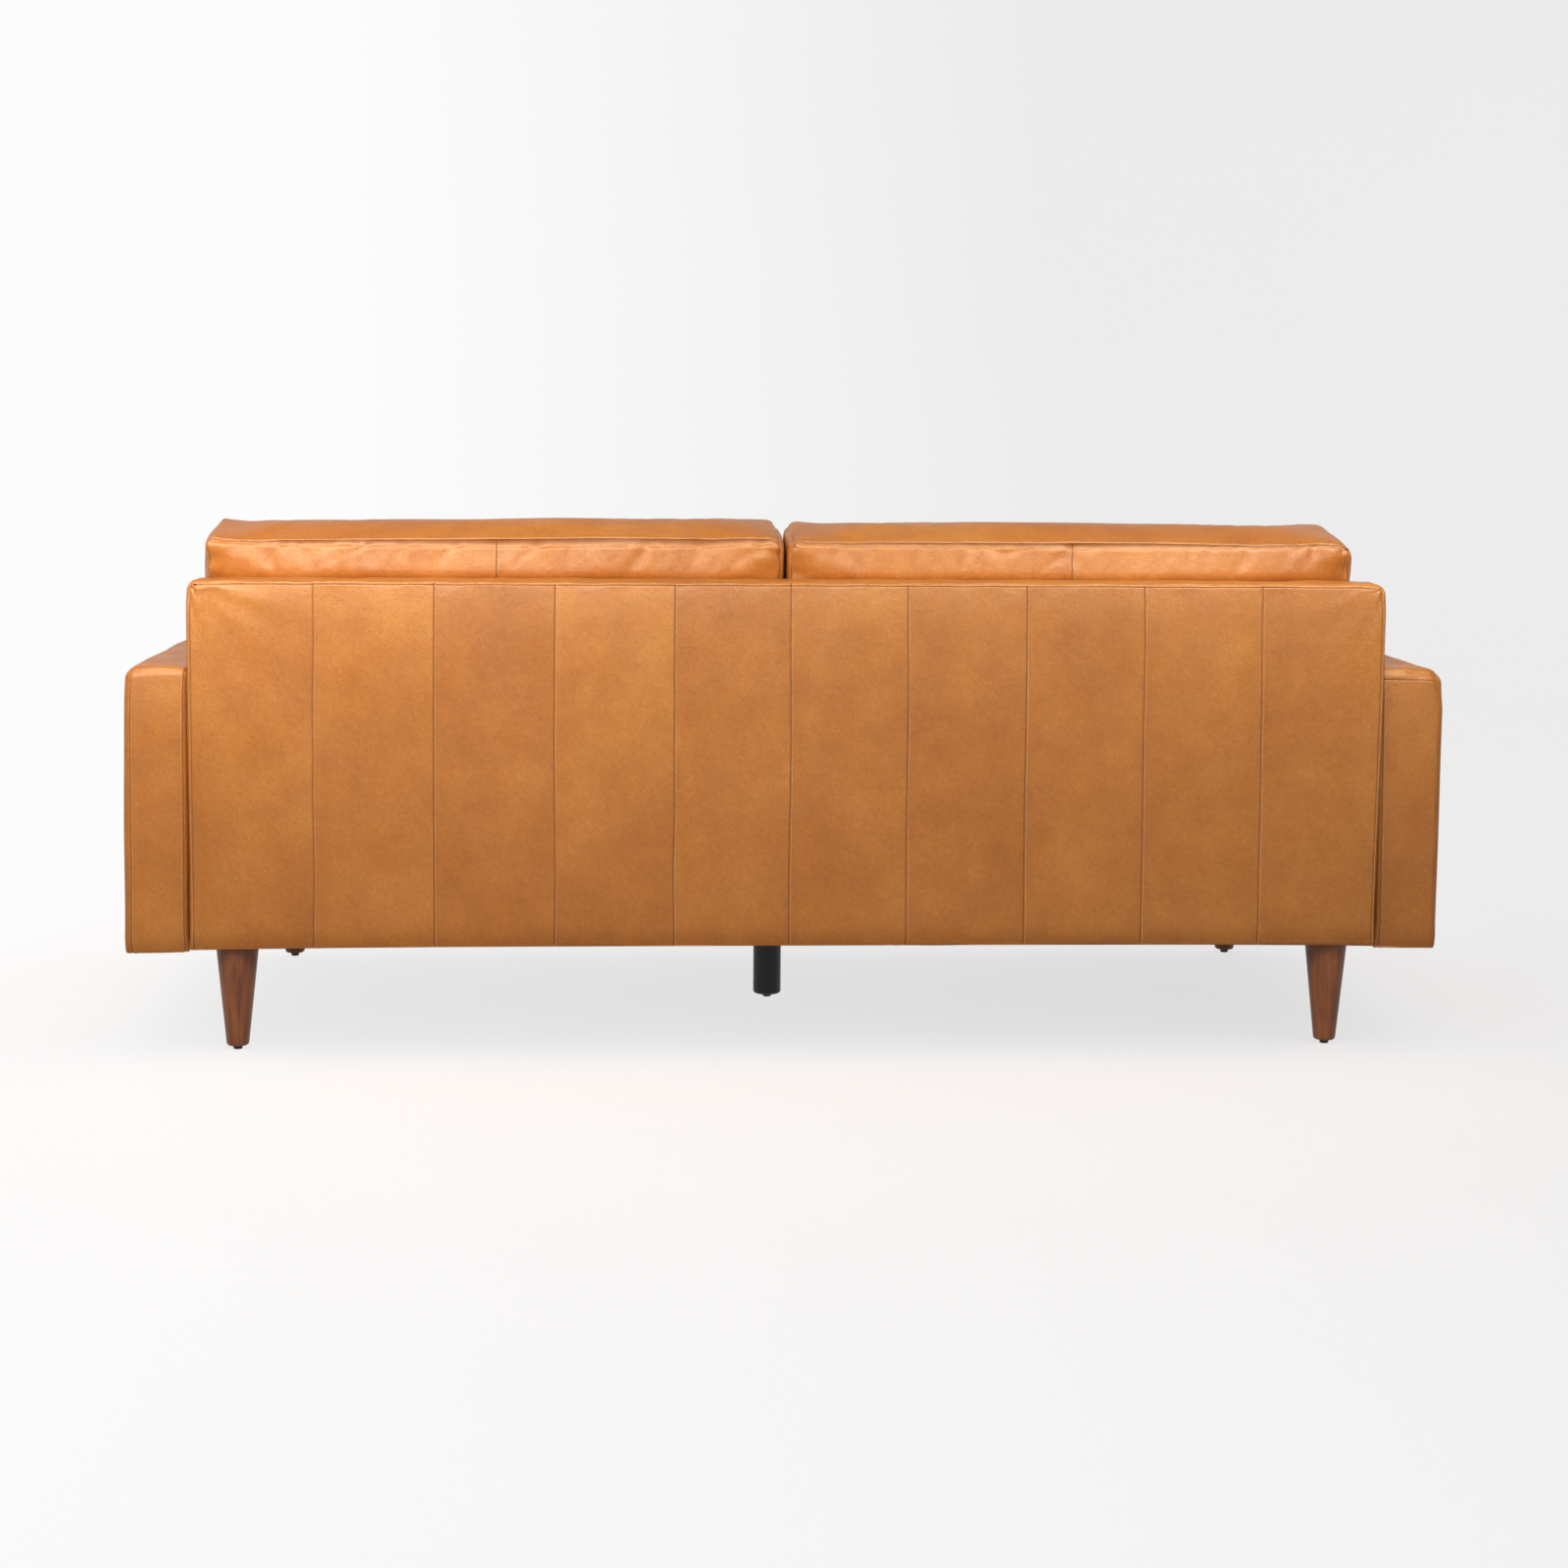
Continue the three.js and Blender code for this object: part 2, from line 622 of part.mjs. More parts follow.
const POST_THICKNESS = 25;
const TOP_RAIL_HEIGHT = 25;
const TOP_RAIL_DROP = 7; // below the inside of the cover's top, for the padding
const TOP_RAIL_SET_BACK = 18; // behind the inside back's face at the top
const TOP_RAIL_TOP_Z = BACK_TOP_Z - BACK_PADDING - TOP_RAIL_DROP;
const BACK_FRAME_CLEARANCE = 2.5; // from the frame to the cover behind it and at its ends
const BACK_FRAME_REAR_Y = REAR_Y - BACK_PADDING - BACK_FRAME_CLEARANCE;
const BACK_FRAME_HALF_WIDTH = BODY_HALF_WIDTH - BACK_PADDING - BACK_FRAME_CLEARANCE;

// A plywood post standing on the rails, upright behind and leaning in front.
function backPost() {
  const topZ = TOP_RAIL_TOP_Z - TOP_RAIL_HEIGHT - FIT;
  const clear = BACK_PADDING / Math.cos(RECLINE) + 1;
  const corners = [
    [BACK_FRAME_REAR_Y, RAIL_TOP_Z + FIT, 0],
    [BACK_FRAME_REAR_Y, topZ, 0],
    [backFrontY(topZ) + clear, topZ, 0],
    [backFrontY(BACK_FRONT_FOOT_Z) + clear, BACK_FRONT_FOOT_Z, 0],
    [backFrontY(BACK_FRONT_FOOT_Z) + clear, RAIL_TOP_Z + FIT, 0],
  ];
  return drawnAlongX(roundedOutline(corners), POST_THICKNESS);
}

function addBackFrame() {
  const postX = BACK_FRAME_HALF_WIDTH - POST_THICKNESS / 2;
  place(sofa, "left_back_post", backPost(), HARDWOOD, postX);
  place(sofa, "right_back_post", backPost(), HARDWOOD, -postX);
  // The middle post is notched over the rear spring strip.
  const notch = boxBetween(
    [-POST_THICKNESS, INSIDE_REAR_Y - 2 * STRIP_THICKNESS, 0],
    [POST_THICKNESS, INSIDE_REAR_Y + STRIP_THICKNESS, RAIL_TOP_Z + STRIP_LIFT + FIT],
  );
  place(sofa, "middle_back_post", cut(backPost(), notch), HARDWOOD, SUPPORT_X);
  const topRailFrontY = backFrontY(BACK_TOP_Z) + TOP_RAIL_SET_BACK;
  const topRail = boxBetween(
    [-BACK_FRAME_HALF_WIDTH, topRailFrontY, TOP_RAIL_TOP_Z - TOP_RAIL_HEIGHT],
    [BACK_FRAME_HALF_WIDTH, BACK_FRAME_REAR_Y, TOP_RAIL_TOP_Z],
  );
  place(sofa, "back_top_rail", topRail, HARDWOOD);
}

place(sofa, "back_cover", backCover(), LEATHER);
addBackFrame();

// ---- Cushions ----

// The corners of a seat cushion's side view, anticlockwise in Y and Z.
function seatCushionSide() {
  const radius = CUSHION_EDGE_RADIUS;
  return [
    [SEAT_FRONT_Y, SEAT_TOP_Z - SEAT_CUSHION_HEIGHT, radius],
    [SEAT_CUSHION_REAR_Y, SEAT_TOP_Z - SEAT_CUSHION_HEIGHT, radius],
    [SEAT_CUSHION_REAR_Y, SEAT_TOP_Z, radius],
    [SEAT_FRONT_Y, SEAT_TOP_Z, radius],
  ];
}

// The same for a back cushion, which leans on the back and stands on the seat cushion.
function backCushionSide() {
  const radius = CUSHION_EDGE_RADIUS;
  const footZ = SEAT_TOP_Z + CUSHION_REST_GAP;
  const rearAt = (z) => backFrontY(z) - CUSHION_REST_GAP / Math.cos(RECLINE);
  const thickness = BACK_CUSHION_THICKNESS;
  return [
    [rearAt(footZ) - thickness / Math.cos(RECLINE), footZ, radius],
    [rearAt(footZ), footZ, radius],
    [rearAt(BACK_CUSHION_TOP_Z), BACK_CUSHION_TOP_Z, radius],
    [
      rearAt(BACK_CUSHION_TOP_Z) - thickness * Math.cos(RECLINE),
      BACK_CUSHION_TOP_Z + thickness * Math.sin(RECLINE),
      radius,
    ],
  ];
}

// A cover with its hollow, and the slot that the zip closes.
function cushionCover(side, slot) {
  const outside = drawnAlongX(roundedOutline(side), CUSHION_WIDTH, CUSHION_END_RADIUS);
  const inside = drawnAlongX(
    roundedOutline(insetCorners(side, COVER_THICKNESS)),
    CUSHION_WIDTH - 2 * COVER_THICKNESS,
    CUSHION_END_RADIUS - COVER_THICKNESS,
  );
  return cut(outside, inside, slot);
}

function cushionCore(side) {
  const inset = COVER_THICKNESS + FIT;
  return drawnAlongX(
    roundedOutline(insetCorners(side, inset)),
    CUSHION_WIDTH - 2 * inset,
    CUSHION_END_RADIUS - inset,
  );
}

// A box centred on x = 0 and along the zip, from the cushion's face inwards: `face` turns a
// distance across the zip and a depth below the face into y and z.
function zipBox(face, length, width, depth0, depth1) {
  const [ya, za] = face(-width / 2, depth0);
  const [yb, zb] = face(width / 2, depth1);
  return boxBetween(
    [-length / 2, Math.min(ya, yb), Math.min(za, zb)],
    [length / 2, Math.max(ya, yb), Math.max(za, zb)],
  );
}

// A cushion is a cover, a core, a zip tape in the cover's slot, and the pull that runs on it.
// The pull is parked at the arm end.
function addCushion(name, sign, side, face) {
  const tapeDepth = COVER_THICKNESS - FIT;
  const slot = zipBox(face, ZIP_LENGTH, ZIP_WIDTH, -1, COVER_THICKNESS + 2);
  const tape = zipBox(
    face,
    ZIP_LENGTH - 2 * FIT,
    ZIP_WIDTH - 2 * FIT,
    tapeDepth - ZIP_TAPE_THICKNESS,
    tapeDepth,
  );
  const pullDepth = tapeDepth - ZIP_TAPE_THICKNESS - FIT;
  const pull = zipBox(face, PULL_LENGTH, PULL_WIDTH, pullDepth - PULL_THICKNESS, pullDepth);
  const cushion = new THREE.Group();
  cushion.position.x = sign * CUSHION_CENTRE_X;
  place(cushion, `${name}_cover`, cushionCover(side, slot), LEATHER);
  place(cushion, `${name}_core`, cushionCore(side), FOAM);
  place(cushion, `${name}_zip`, tape, ZIP_TAPE);
  const parkedX = sign * (ZIP_LENGTH / 2 - PULL_LENGTH);
  place(cushion, `${name}_zip_pull`, pull, ZIP_METAL, parkedX);
  sofa.add(cushion);
}

// A seat cushion's zip is in its rear boxing, and a back cushion's is in its bottom boxing.
const seatZipFace = (across, depth) => [
  SEAT_CUSHION_REAR_Y - depth,
  SEAT_TOP_Z - SEAT_CUSHION_HEIGHT / 2 + across,
];
const backZipFace = (across, depth) => {
  const [front, rear] = backCushionSide();
  return [(front[0] + rear[0]) / 2 + across, front[1] + depth];
};

for (const [side, sign] of Object.entries(SIDES)) {
  addCushion(`${side}_seat_cushion`, sign, seatCushionSide(), seatZipFace);
  addCushion(`${side}_back_cushion`, sign, backCushionSide(), backZipFace);
}

export default sofa;
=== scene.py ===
"""A caramel leather sofa on wooden legs, seen from behind in a pale studio.

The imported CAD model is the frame. Its soft solids are replaced here by leather skins with sewn
seams, stitches and creases, and its legs by smooth turned ones. Metres, +Z up, the seat faces -Y
and +X is the sitter's left, as in the CAD model.
"""

import json
import math

import bpy
import numpy as np
from mathutils import Matrix, Vector


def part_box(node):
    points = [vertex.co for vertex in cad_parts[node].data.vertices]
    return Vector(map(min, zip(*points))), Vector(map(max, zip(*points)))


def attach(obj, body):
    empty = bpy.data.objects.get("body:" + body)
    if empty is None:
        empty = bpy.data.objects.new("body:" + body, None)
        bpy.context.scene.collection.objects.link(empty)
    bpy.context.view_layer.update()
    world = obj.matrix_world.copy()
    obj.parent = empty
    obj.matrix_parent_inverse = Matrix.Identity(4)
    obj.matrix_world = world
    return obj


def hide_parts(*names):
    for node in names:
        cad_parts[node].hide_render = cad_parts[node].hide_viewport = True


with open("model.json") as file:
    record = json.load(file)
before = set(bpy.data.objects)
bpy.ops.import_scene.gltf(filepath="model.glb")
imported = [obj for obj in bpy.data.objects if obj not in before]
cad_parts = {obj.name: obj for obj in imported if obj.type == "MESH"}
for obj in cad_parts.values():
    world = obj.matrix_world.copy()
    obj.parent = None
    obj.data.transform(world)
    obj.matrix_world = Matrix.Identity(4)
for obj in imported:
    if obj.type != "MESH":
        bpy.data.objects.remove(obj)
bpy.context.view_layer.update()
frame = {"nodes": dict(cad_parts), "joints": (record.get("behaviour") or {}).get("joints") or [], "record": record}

MM = 0.001
SAME = 1e-6  # metres: two coordinates this close are the same
TINY = 1e-12  # keeps a division clear of nought
X, Y, Z = 0, 1, 2
SIDES = {"left": 1, "right": -1}


def corners(node):
    """A CAD node's lowest and highest corner at rest."""
    return (np.array(corner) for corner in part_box(node))


# ---- The camera ----

CAMERA_PLACE = (0.269, 5.053, 1.060)
CAMERA_YAW = math.radians(-3.19)
CAMERA_PITCH = math.radians(3.33)
CAMERA_ROLL = math.radians(0.4)
CAMERA_LENS = 64.4
CAMERA_SHIFT = -0.133


def add_camera():
    """Looks at the outside back, level but for a slight downward pitch."""
    forward = Vector(
        (
            math.sin(CAMERA_YAW) * math.cos(CAMERA_PITCH),
            -math.cos(CAMERA_YAW) * math.cos(CAMERA_PITCH),
            -math.sin(CAMERA_PITCH),
        )
    )
    right = forward.cross(Vector((0, 0, 1))).normalized()
    up = right.cross(forward)
    turned_right = right * math.cos(CAMERA_ROLL) + up * math.sin(CAMERA_ROLL)
    turned_up = up * math.cos(CAMERA_ROLL) - right * math.sin(CAMERA_ROLL)
    axes = Matrix((turned_right, turned_up, -forward)).transposed().to_4x4()
    data = bpy.data.cameras.new("camera")
    data.lens = CAMERA_LENS
    data.shift_y = CAMERA_SHIFT
    camera = bpy.data.objects.new("camera", data)
    camera.matrix_world = Matrix.Translation(CAMERA_PLACE) @ axes
    bpy.context.scene.collection.objects.link(camera)
    bpy.context.scene.camera = camera


# ---- Skins: box surfaces on a grid of lines ----

FINE_OFFSETS = np.array([0, 0.8, 1.7, 2.8, 4.4, 6.5, 9.5, 13.5]) * MM  # lines beside a seam
CLOSEST_LINES = 0.35 * MM


def grid_lines(low, high, spacing, seams=(), edge=0.0):
    """Rising coordinates from low to high, closer together near the seams and the edges."""
    wanted = [low, high]
    for seam in seams:
        wanted += list(seam + FINE_OFFSETS) + list(seam - FINE_OFFSETS)
    for part in np.linspace(0.2, 1, 5) * edge:
        wanted += [low + part, high - part]
    wanted = sorted(w for w in wanted if low <= w <= high)
    kept = [wanted[0]]
    for value in wanted[1:]:
        if value - kept[-1] > CLOSEST_LINES:
            kept.append(value)
    kept[-1] = high
    lines = []
    for a, b in zip(kept, kept[1:]):
        lines += list(np.linspace(a, b, max(1, round((b - a) / spacing)), endpoint=False))
    return np.array(lines + [high])


def cubic_weights(coarse, fine):
    """The matrix that turns values on evenly spaced coarse lines into values on the fine ones."""
    step = coarse[1] - coarse[0]
    place = np.clip((fine - coarse[0]) / step, 0, len(coarse) - 1 - 1e-9)
    cell = place.astype(int)
    t = place - cell
    parts = (
        (-1, -0.5 * t + t**2 - 0.5 * t**3),
        (0, 1 - 2.5 * t**2 + 1.5 * t**3),
        (1, 0.5 * t + 2 * t**2 - 1.5 * t**3),
        (2, -0.5 * t**2 + 0.5 * t**3),
    )
    weights = np.zeros((len(fine), len(coarse)))
    rows = np.arange(len(fine))
    for offset, value in parts:
        np.add.at(weights, (rows, np.clip(cell + offset, 0, len(coarse) - 1)), value)
    return weights


def rounded(at, low, high, radius):
    """Points on a box's surface, moved so that its edges and corners are round."""
    core = np.clip(at, low + radius, high - radius)
    out = at - core
    length = np.linalg.norm(out, axis=1, keepdims=True)
    reach = np.abs(out).max(axis=1, keepdims=True)
    return core + out * reach / np.maximum(length, TINY)


def unit(vectors):
    return vectors / np.maximum(np.linalg.norm(vectors, axis=1, keepdims=True), TINY)


class Skin:
    """The six sides of a box as one closed grid mesh.

    `flat` holds each point's place on the plain box, and `at` its place in the frame. Seams,
    stitches and creases are laid out on the plain box and follow whatever the skin does.
    """

    def __init__(self, lines):
        self.lines = lines
        self.low = np.array([line[0] for line in lines])
        self.high = np.array([line[-1] for line in lines])
        counts = [len(line) for line in lines]
        outside = np.zeros(counts, bool)
        for axis in (X, Y, Z):
            for end in (0, -1):
                np.moveaxis(outside, axis, 0)[end] = True
        index = np.full(counts, -1)
        index[outside] = np.arange(outside.sum())
        self.flat = np.stack(np.meshgrid(*lines, indexing="ij"), -1)[outside]
        self.at = self.flat.copy()
        self.sides = {}
        for axis in (X, Y, Z):
            for end in (0, -1):
                self.sides[axis, end] = np.moveaxis(index, axis, 0)[end]
        self.quads = np.concatenate([self._quads(*side) for side in self.sides])

    def _quads(self, axis, end):
        ids = self.sides[axis, end]
        corners = [ids[:-1, :-1], ids[1:, :-1], ids[1:, 1:], ids[:-1, 1:]]
        if (end == 0) != (axis == Y):
            corners.reverse()
        return np.stack(corners, -1).reshape(-1, 4)

    def round_edges(self, radius):
        """Rounds all edges and corners. The radius is one number, or one for each point."""
        radius = np.broadcast_to(np.asarray(radius, float), len(self.at))[:, None]
        self.at = rounded(self.at, self.low, self.high, radius)

    def round_outline(self, axes, low_radius, high_radius):
        """Rounds the outline's corners in the plane of two axes, by end of the first axis."""
        middle = (self.low[axes[0]] + self.high[axes[0]]) / 2
        radius = np.where(self.at[:, axes[0]] > middle, high_radius, low_radius)[:, None]
        self.at[:, axes] = rounded(self.at[:, axes], self.low[axes], self.high[axes], radius)

    def centres(self):
        """The middle of each quad on the plain box."""
        return self.flat[self.quads].mean(axis=1)

    def normals(self):
        a, b, c, d = (self.at[self.quads[:, i]] for i in range(4))
        face_normals = np.cross(c - a, d - b)
        total = np.zeros_like(self.at)
        for i in range(4):
            np.add.at(total, self.quads[:, i], face_normals)
        return unit(total)

    def swell(self, amount):
        """Moves each point outwards by its own amount."""
        self.at = self.at + self.normals() * np.asarray(amount)[:, None]

    def take_shift(self, coarse, shift):
        """Adds the coarse skin's shift, smoothly interpolated, to this finer skin."""
        taken = np.zeros_like(self.at)
        for side, ids in self.sides.items():
            b, c = (axis for axis in (X, Y, Z) if axis != side[0])
            across = cubic_weights(coarse.lines[b], self.lines[b])
            along = cubic_weights(coarse.lines[c], self.lines[c])
            grid = shift[coarse.sides[side]]
            taken[ids] = np.einsum("ib,bcx,jc->ijx", across, grid, along)
        self.at = self.at + taken

    def sample(self, points, *fields):
        """Fields of the skin at points that lie on the plain box, by bilinear interpolation."""
        found = [np.zeros((len(points), 3)) for _ in fields]
        for (axis, end), ids in self.sides.items():
            level = self.lines[axis][end]
            here = np.abs(points[:, axis] - level) < SAME
            if not here.any():
                continue
            weights, cells = [], []
            for other in (a for a in (X, Y, Z) if a != axis):
                line = self.lines[other]
                value = points[here, other]
                cell = np.clip(np.searchsorted(line, value) - 1, 0, len(line) - 2)
                weights.append(((value - line[cell]) / (line[cell + 1] - line[cell]))[:, None])
                cells.append(cell)
            (u, v), (i, j) = weights, cells
            for field, out in zip(fields, found):
                out[here] = (
                    field[ids[i, j]] * (1 - u) * (1 - v)
                    + field[ids[i + 1, j]] * u * (1 - v)
                    + field[ids[i, j + 1]] * (1 - u) * v
                    + field[ids[i + 1, j + 1]] * u * v
                )
        return found


def grid_skin(low, high, *axes):
    """A skin from the line spacing of each axis, and its seams and edge radius if it has any."""
    return Skin([grid_lines(a, b, *settings) for a, b, settings in zip(low, high, axes)])


def mesh_object(name, points, faces, materials, smooth=True):
    """A mesh object at the origin, with one or several materials."""
    mesh = bpy.data.meshes.new(name)
    mesh.from_pydata(np.asarray(points).tolist(), [], [list(map(int, f)) for f in faces])
    for material in materials:
        mesh.materials.append(material)
    mesh.polygons.foreach_set("use_smooth", [smooth] * len(mesh.polygons))
    mesh.update()
    obj = bpy.data.objects.new(name, mesh)
    bpy.context.scene.collection.objects.link(obj)
    return obj


def set_attribute(obj, name, values, domain="POINT"):
    attribute = obj.data.attributes.new(name, "FLOAT", domain)
    attribute.data.foreach_set("value", np.asarray(values, np.float32))


# ---- Seams and stitches ----

STITCH_PITCH = 5.0 * MM
STITCH_LENGTH = 4.3 * MM
STITCH_RADIUS = 0.55 * MM
STITCH_SIDES = 5
STITCH_OFFSET = 3.6 * MM
FINE_OFFSET = 3.0 * MM  # where the topstitching sits closer to the seam
SEAM_WANDER = 0.7 * MM
WANDER_LENGTH = 0.13
SEAM_WIDTH = 0.85 * MM
SEAM_END_FADE = 4 * MM
PUFF_REACH = 22 * MM  # how far beside a seam the padding stays drawn down
BAND_PLACE, BAND_WIDTH, BAND_LIFT = 4.5 * MM, 3.2 * MM, 0.55 * MM  # the turned edge under the stitches
THREAD_BED_WIDTH, THREAD_BED_DEPTH = 1.1 * MM, 0.35 * MM
HOOK_HEIGHT = 9 * MM
RIM_REACH = 45 * MM  # further from its side, a rim seam has no effect


def bell(distance, width):
    """1 at nought, falling smoothly to nothing over about twice the width."""
    return np.exp(-((distance / width) ** 2))


class Seam:
    """A sewn line where the skin meets the plane axis = at, with stitches beside it.

    `within` limits it along other axes. A rim seam runs round the edges of the box's end side at
    that plane instead, `inset` metres inside them; `open_below` leaves out the lowest edge.
    `stitches` lists the distances of its stitch lines from it. On a rim seam a positive
    distance is outwards, towards the boxing, and on a plain one it is along the axis. `hook`
    bends a plain seam sideways by that much where it reaches `top`.
    """

    rim, inset, open_below = False, 0.0, False
    stitches, depth, puff = (STITCH_OFFSET,), 1.2 * MM, 0.8 * MM
    hook, top = 0.0, 0.0

    def __init__(self, axis, at, within=(), **settings):
        self.axis = axis
        self.at = at
        self.within = dict(within)
        for name, value in settings.items():
            setattr(self, name, value)

    def drift(self, points):
        """How far a hand-guided seam strays from its line, and its hook at the top."""
        if self.rim:
            return np.zeros(len(points))
        along = points.copy()
        along[:, self.axis] = self.at
        stray = SEAM_WANDER * waves(along, WANDER_LENGTH, int(abs(self.at) * 1000), 4)
        return stray + self.hook * np.exp((points[:, Z] - self.top) / HOOK_HEIGHT)

    def distance(self, skin):
        """Signed distances of the skin's points from the seam, and how far past its ends."""
        flat = skin.flat
        signed = flat[:, self.axis] - self.at - self.drift(flat)
        if self.rim:
            away = np.abs(flat[:, self.axis] - self.at)
            gaps = []
            for axis in (a for a in (X, Y, Z) if a != self.axis):
                gaps.append(skin.high[axis] - flat[:, axis])
                if not (self.open_below and axis == Z):
                    gaps.append(flat[:, axis] - skin.low[axis])
            signed = np.where(away < RIM_REACH, away - np.min(gaps, axis=0) + self.inset, 1.0)
        return signed, self.past_ends(flat)

    def past_ends(self, points):
        past = np.zeros(len(points))
        for axis, (low, high) in self.within.items():
            value = points[:, axis]
            past = np.hypot(past, np.maximum(low - value, 0) + np.maximum(value - high, 0))
        return past

    def relief(self, skin):
        """How far the seam lifts or sinks each point, and how deep in the seam it is, 0 to 1."""
        signed, past = self.distance(skin)
        fade = bell(past, SEAM_END_FADE)
        valley = bell(signed, SEAM_WIDTH)
        ridge = np.zeros(len(signed))
        for offset in self.stitches:
            towards = signed * np.sign(offset)
            ridge += BAND_LIFT * bell(towards - BAND_PLACE, BAND_WIDTH)
            ridge -= THREAD_BED_DEPTH * bell(signed - offset, THREAD_BED_WIDTH)
        lift = ridge - self.depth * valley - self.puff * np.exp(-np.abs(signed) / PUFF_REACH)
        return lift * fade, valley * fade

    def stitch_path(self, skin, offset):
        """Points on the plain box along one stitch line, a stitch apart, and their directions."""
        b, c = (a for a in (X, Y, Z) if a != self.axis)
        level, margin = self.at + offset, 0.0
        if self.rim:
            inwards = self.inset - offset
            margin = max(inwards, 0.0)
            to_boxing = 1 if self.at == skin.low[self.axis] else -1
            level = self.at + to_boxing * max(-inwards, 0.0)
        low, high = skin.low + margin, skin.high - margin
        corners = [(low[b], low[c]), (high[b], low[c]), (high[b], high[c]), (low[b], high[c])]
        points, directions = [], []
        for (b0, c0), (b1, c1) in zip(corners, corners[1:] + corners[:1]):
            length = math.hypot(b1 - b0, c1 - c0)
            for t in (np.arange(int(length / STITCH_PITCH)) + 0.5) * STITCH_PITCH / length:
                point, direction = np.zeros(3), np.zeros(3)
                point[[self.axis, b, c]] = level, b0 + (b1 - b0) * t, c0 + (c1 - c0) * t
                direction[[b, c]] = (b1 - b0) / length, (c1 - c0) / length
                points.append(point)
                directions.append(direction)
        points, directions = np.array(points), np.array(directions)
        points[:, self.axis] += self.drift(points)
        keep = self.past_ends(points) < SAME
        if self.open_below:
            keep &= points[:, Z] > skin.low[Z] + margin + SAME
        return points[keep], directions[keep]


def sew(skin, seams):
    """Presses the seams into the skin. Returns how deep in a seam each point is, 0 to 1."""
    lift = np.zeros(len(skin.at))
    depth = np.zeros(len(skin.at))
    for seam in seams:
        seam_lift, seam_depth = seam.relief(skin)
        lift += seam_lift
        depth = np.maximum(depth, seam_depth)
    skin.swell(lift)
    return depth


def stitch_mesh(name, skin, seams):
    """All the stitches of a skin as one mesh of short round threads that sink at both ends."""
    rings = [(-0.5, 0.35, -0.6), (-0.3, 1.0, 0.25), (0.3, 1.0, 0.25), (0.5, 0.35, -0.6)]
    turn = 2 * math.pi * np.arange(STITCH_SIDES) / STITCH_SIDES
    template = np.array(
        [
            (along * STITCH_LENGTH, math.cos(a) * wide, math.sin(a) * wide + up)
            for along, wide, up in rings
            for a in turn
        ]
    )
    template[:, 1:] *= STITCH_RADIUS
    faces = [list(range(STITCH_SIDES))[::-1], list(range(3 * STITCH_SIDES, 4 * STITCH_SIDES))]
    for ring in range(3):
        for i in range(STITCH_SIDES):
            a, b = ring * STITCH_SIDES + i, ring * STITCH_SIDES + (i + 1) % STITCH_SIDES
            faces.append([a, b, b + STITCH_SIDES, a + STITCH_SIDES])
    normals = skin.normals()
    all_points, all_faces, start = [], [], 0
    for seam in seams:
        for offset in seam.stitches:
            path, direction = seam.stitch_path(skin, offset)
            if not len(path):
                continue
            reach = direction * STITCH_PITCH * 0.4
            low, high = skin.low, skin.high
            centre, normal = skin.sample(path, skin.at, normals)
            ahead, _ = skin.sample(np.clip(path + reach, low, high), skin.at, normals)
            behind, _ = skin.sample(np.clip(path - reach, low, high), skin.at, normals)
            along = unit(ahead - behind)
            across = unit(np.cross(normal, along))
            upward = np.cross(along, across)
            axes = np.stack([along, across, upward], 1)
            points = centre[:, None, :] + np.einsum("vk,nkx->nvx", template, axes)
            all_points.append(points.reshape(-1, 3))
            for i in range(len(path)):
                all_faces += [[start + k for k in face] for face in faces]
                start += len(template)
    return mesh_object(name, np.concatenate(all_points), all_faces, [MATERIALS["thread"]])


# ---- Creases ----


def waves(points, size, seed, count=10, stretch=(1, 1, 1)):
    """A smooth random field between about -1 and 1, whose bumps are about `size` across."""
    random = np.random.default_rng(seed)
    total = np.zeros(len(points))
    for _ in range(count):
        direction = random.normal(size=3)
        direction /= np.linalg.norm(direction)
        direction /= np.array(stretch)
        pace = math.pi / size * random.uniform(0.6, 1.5)
        total += np.sin(points @ direction * pace + random.uniform(0, 2 * math.pi))
    return total / math.sqrt(count)


def creases(field, width):
    """Narrow valleys where a smooth field passes through nought: 0 on the level, -1 in them."""
    return -bell(field, width)


def corner_wrinkles(points, corner, count, phase, reach):
    """Ripples of an upright panel that run out from its corner and fade over the reach."""
    from_corner = points - corner
    angle = np.arctan2(from_corner[:, Z], from_corner[:, X])
    return np.sin(angle * count + phase) * bell(np.linalg.norm(from_corner / reach, axis=1), 1)


# ---- Materials ----


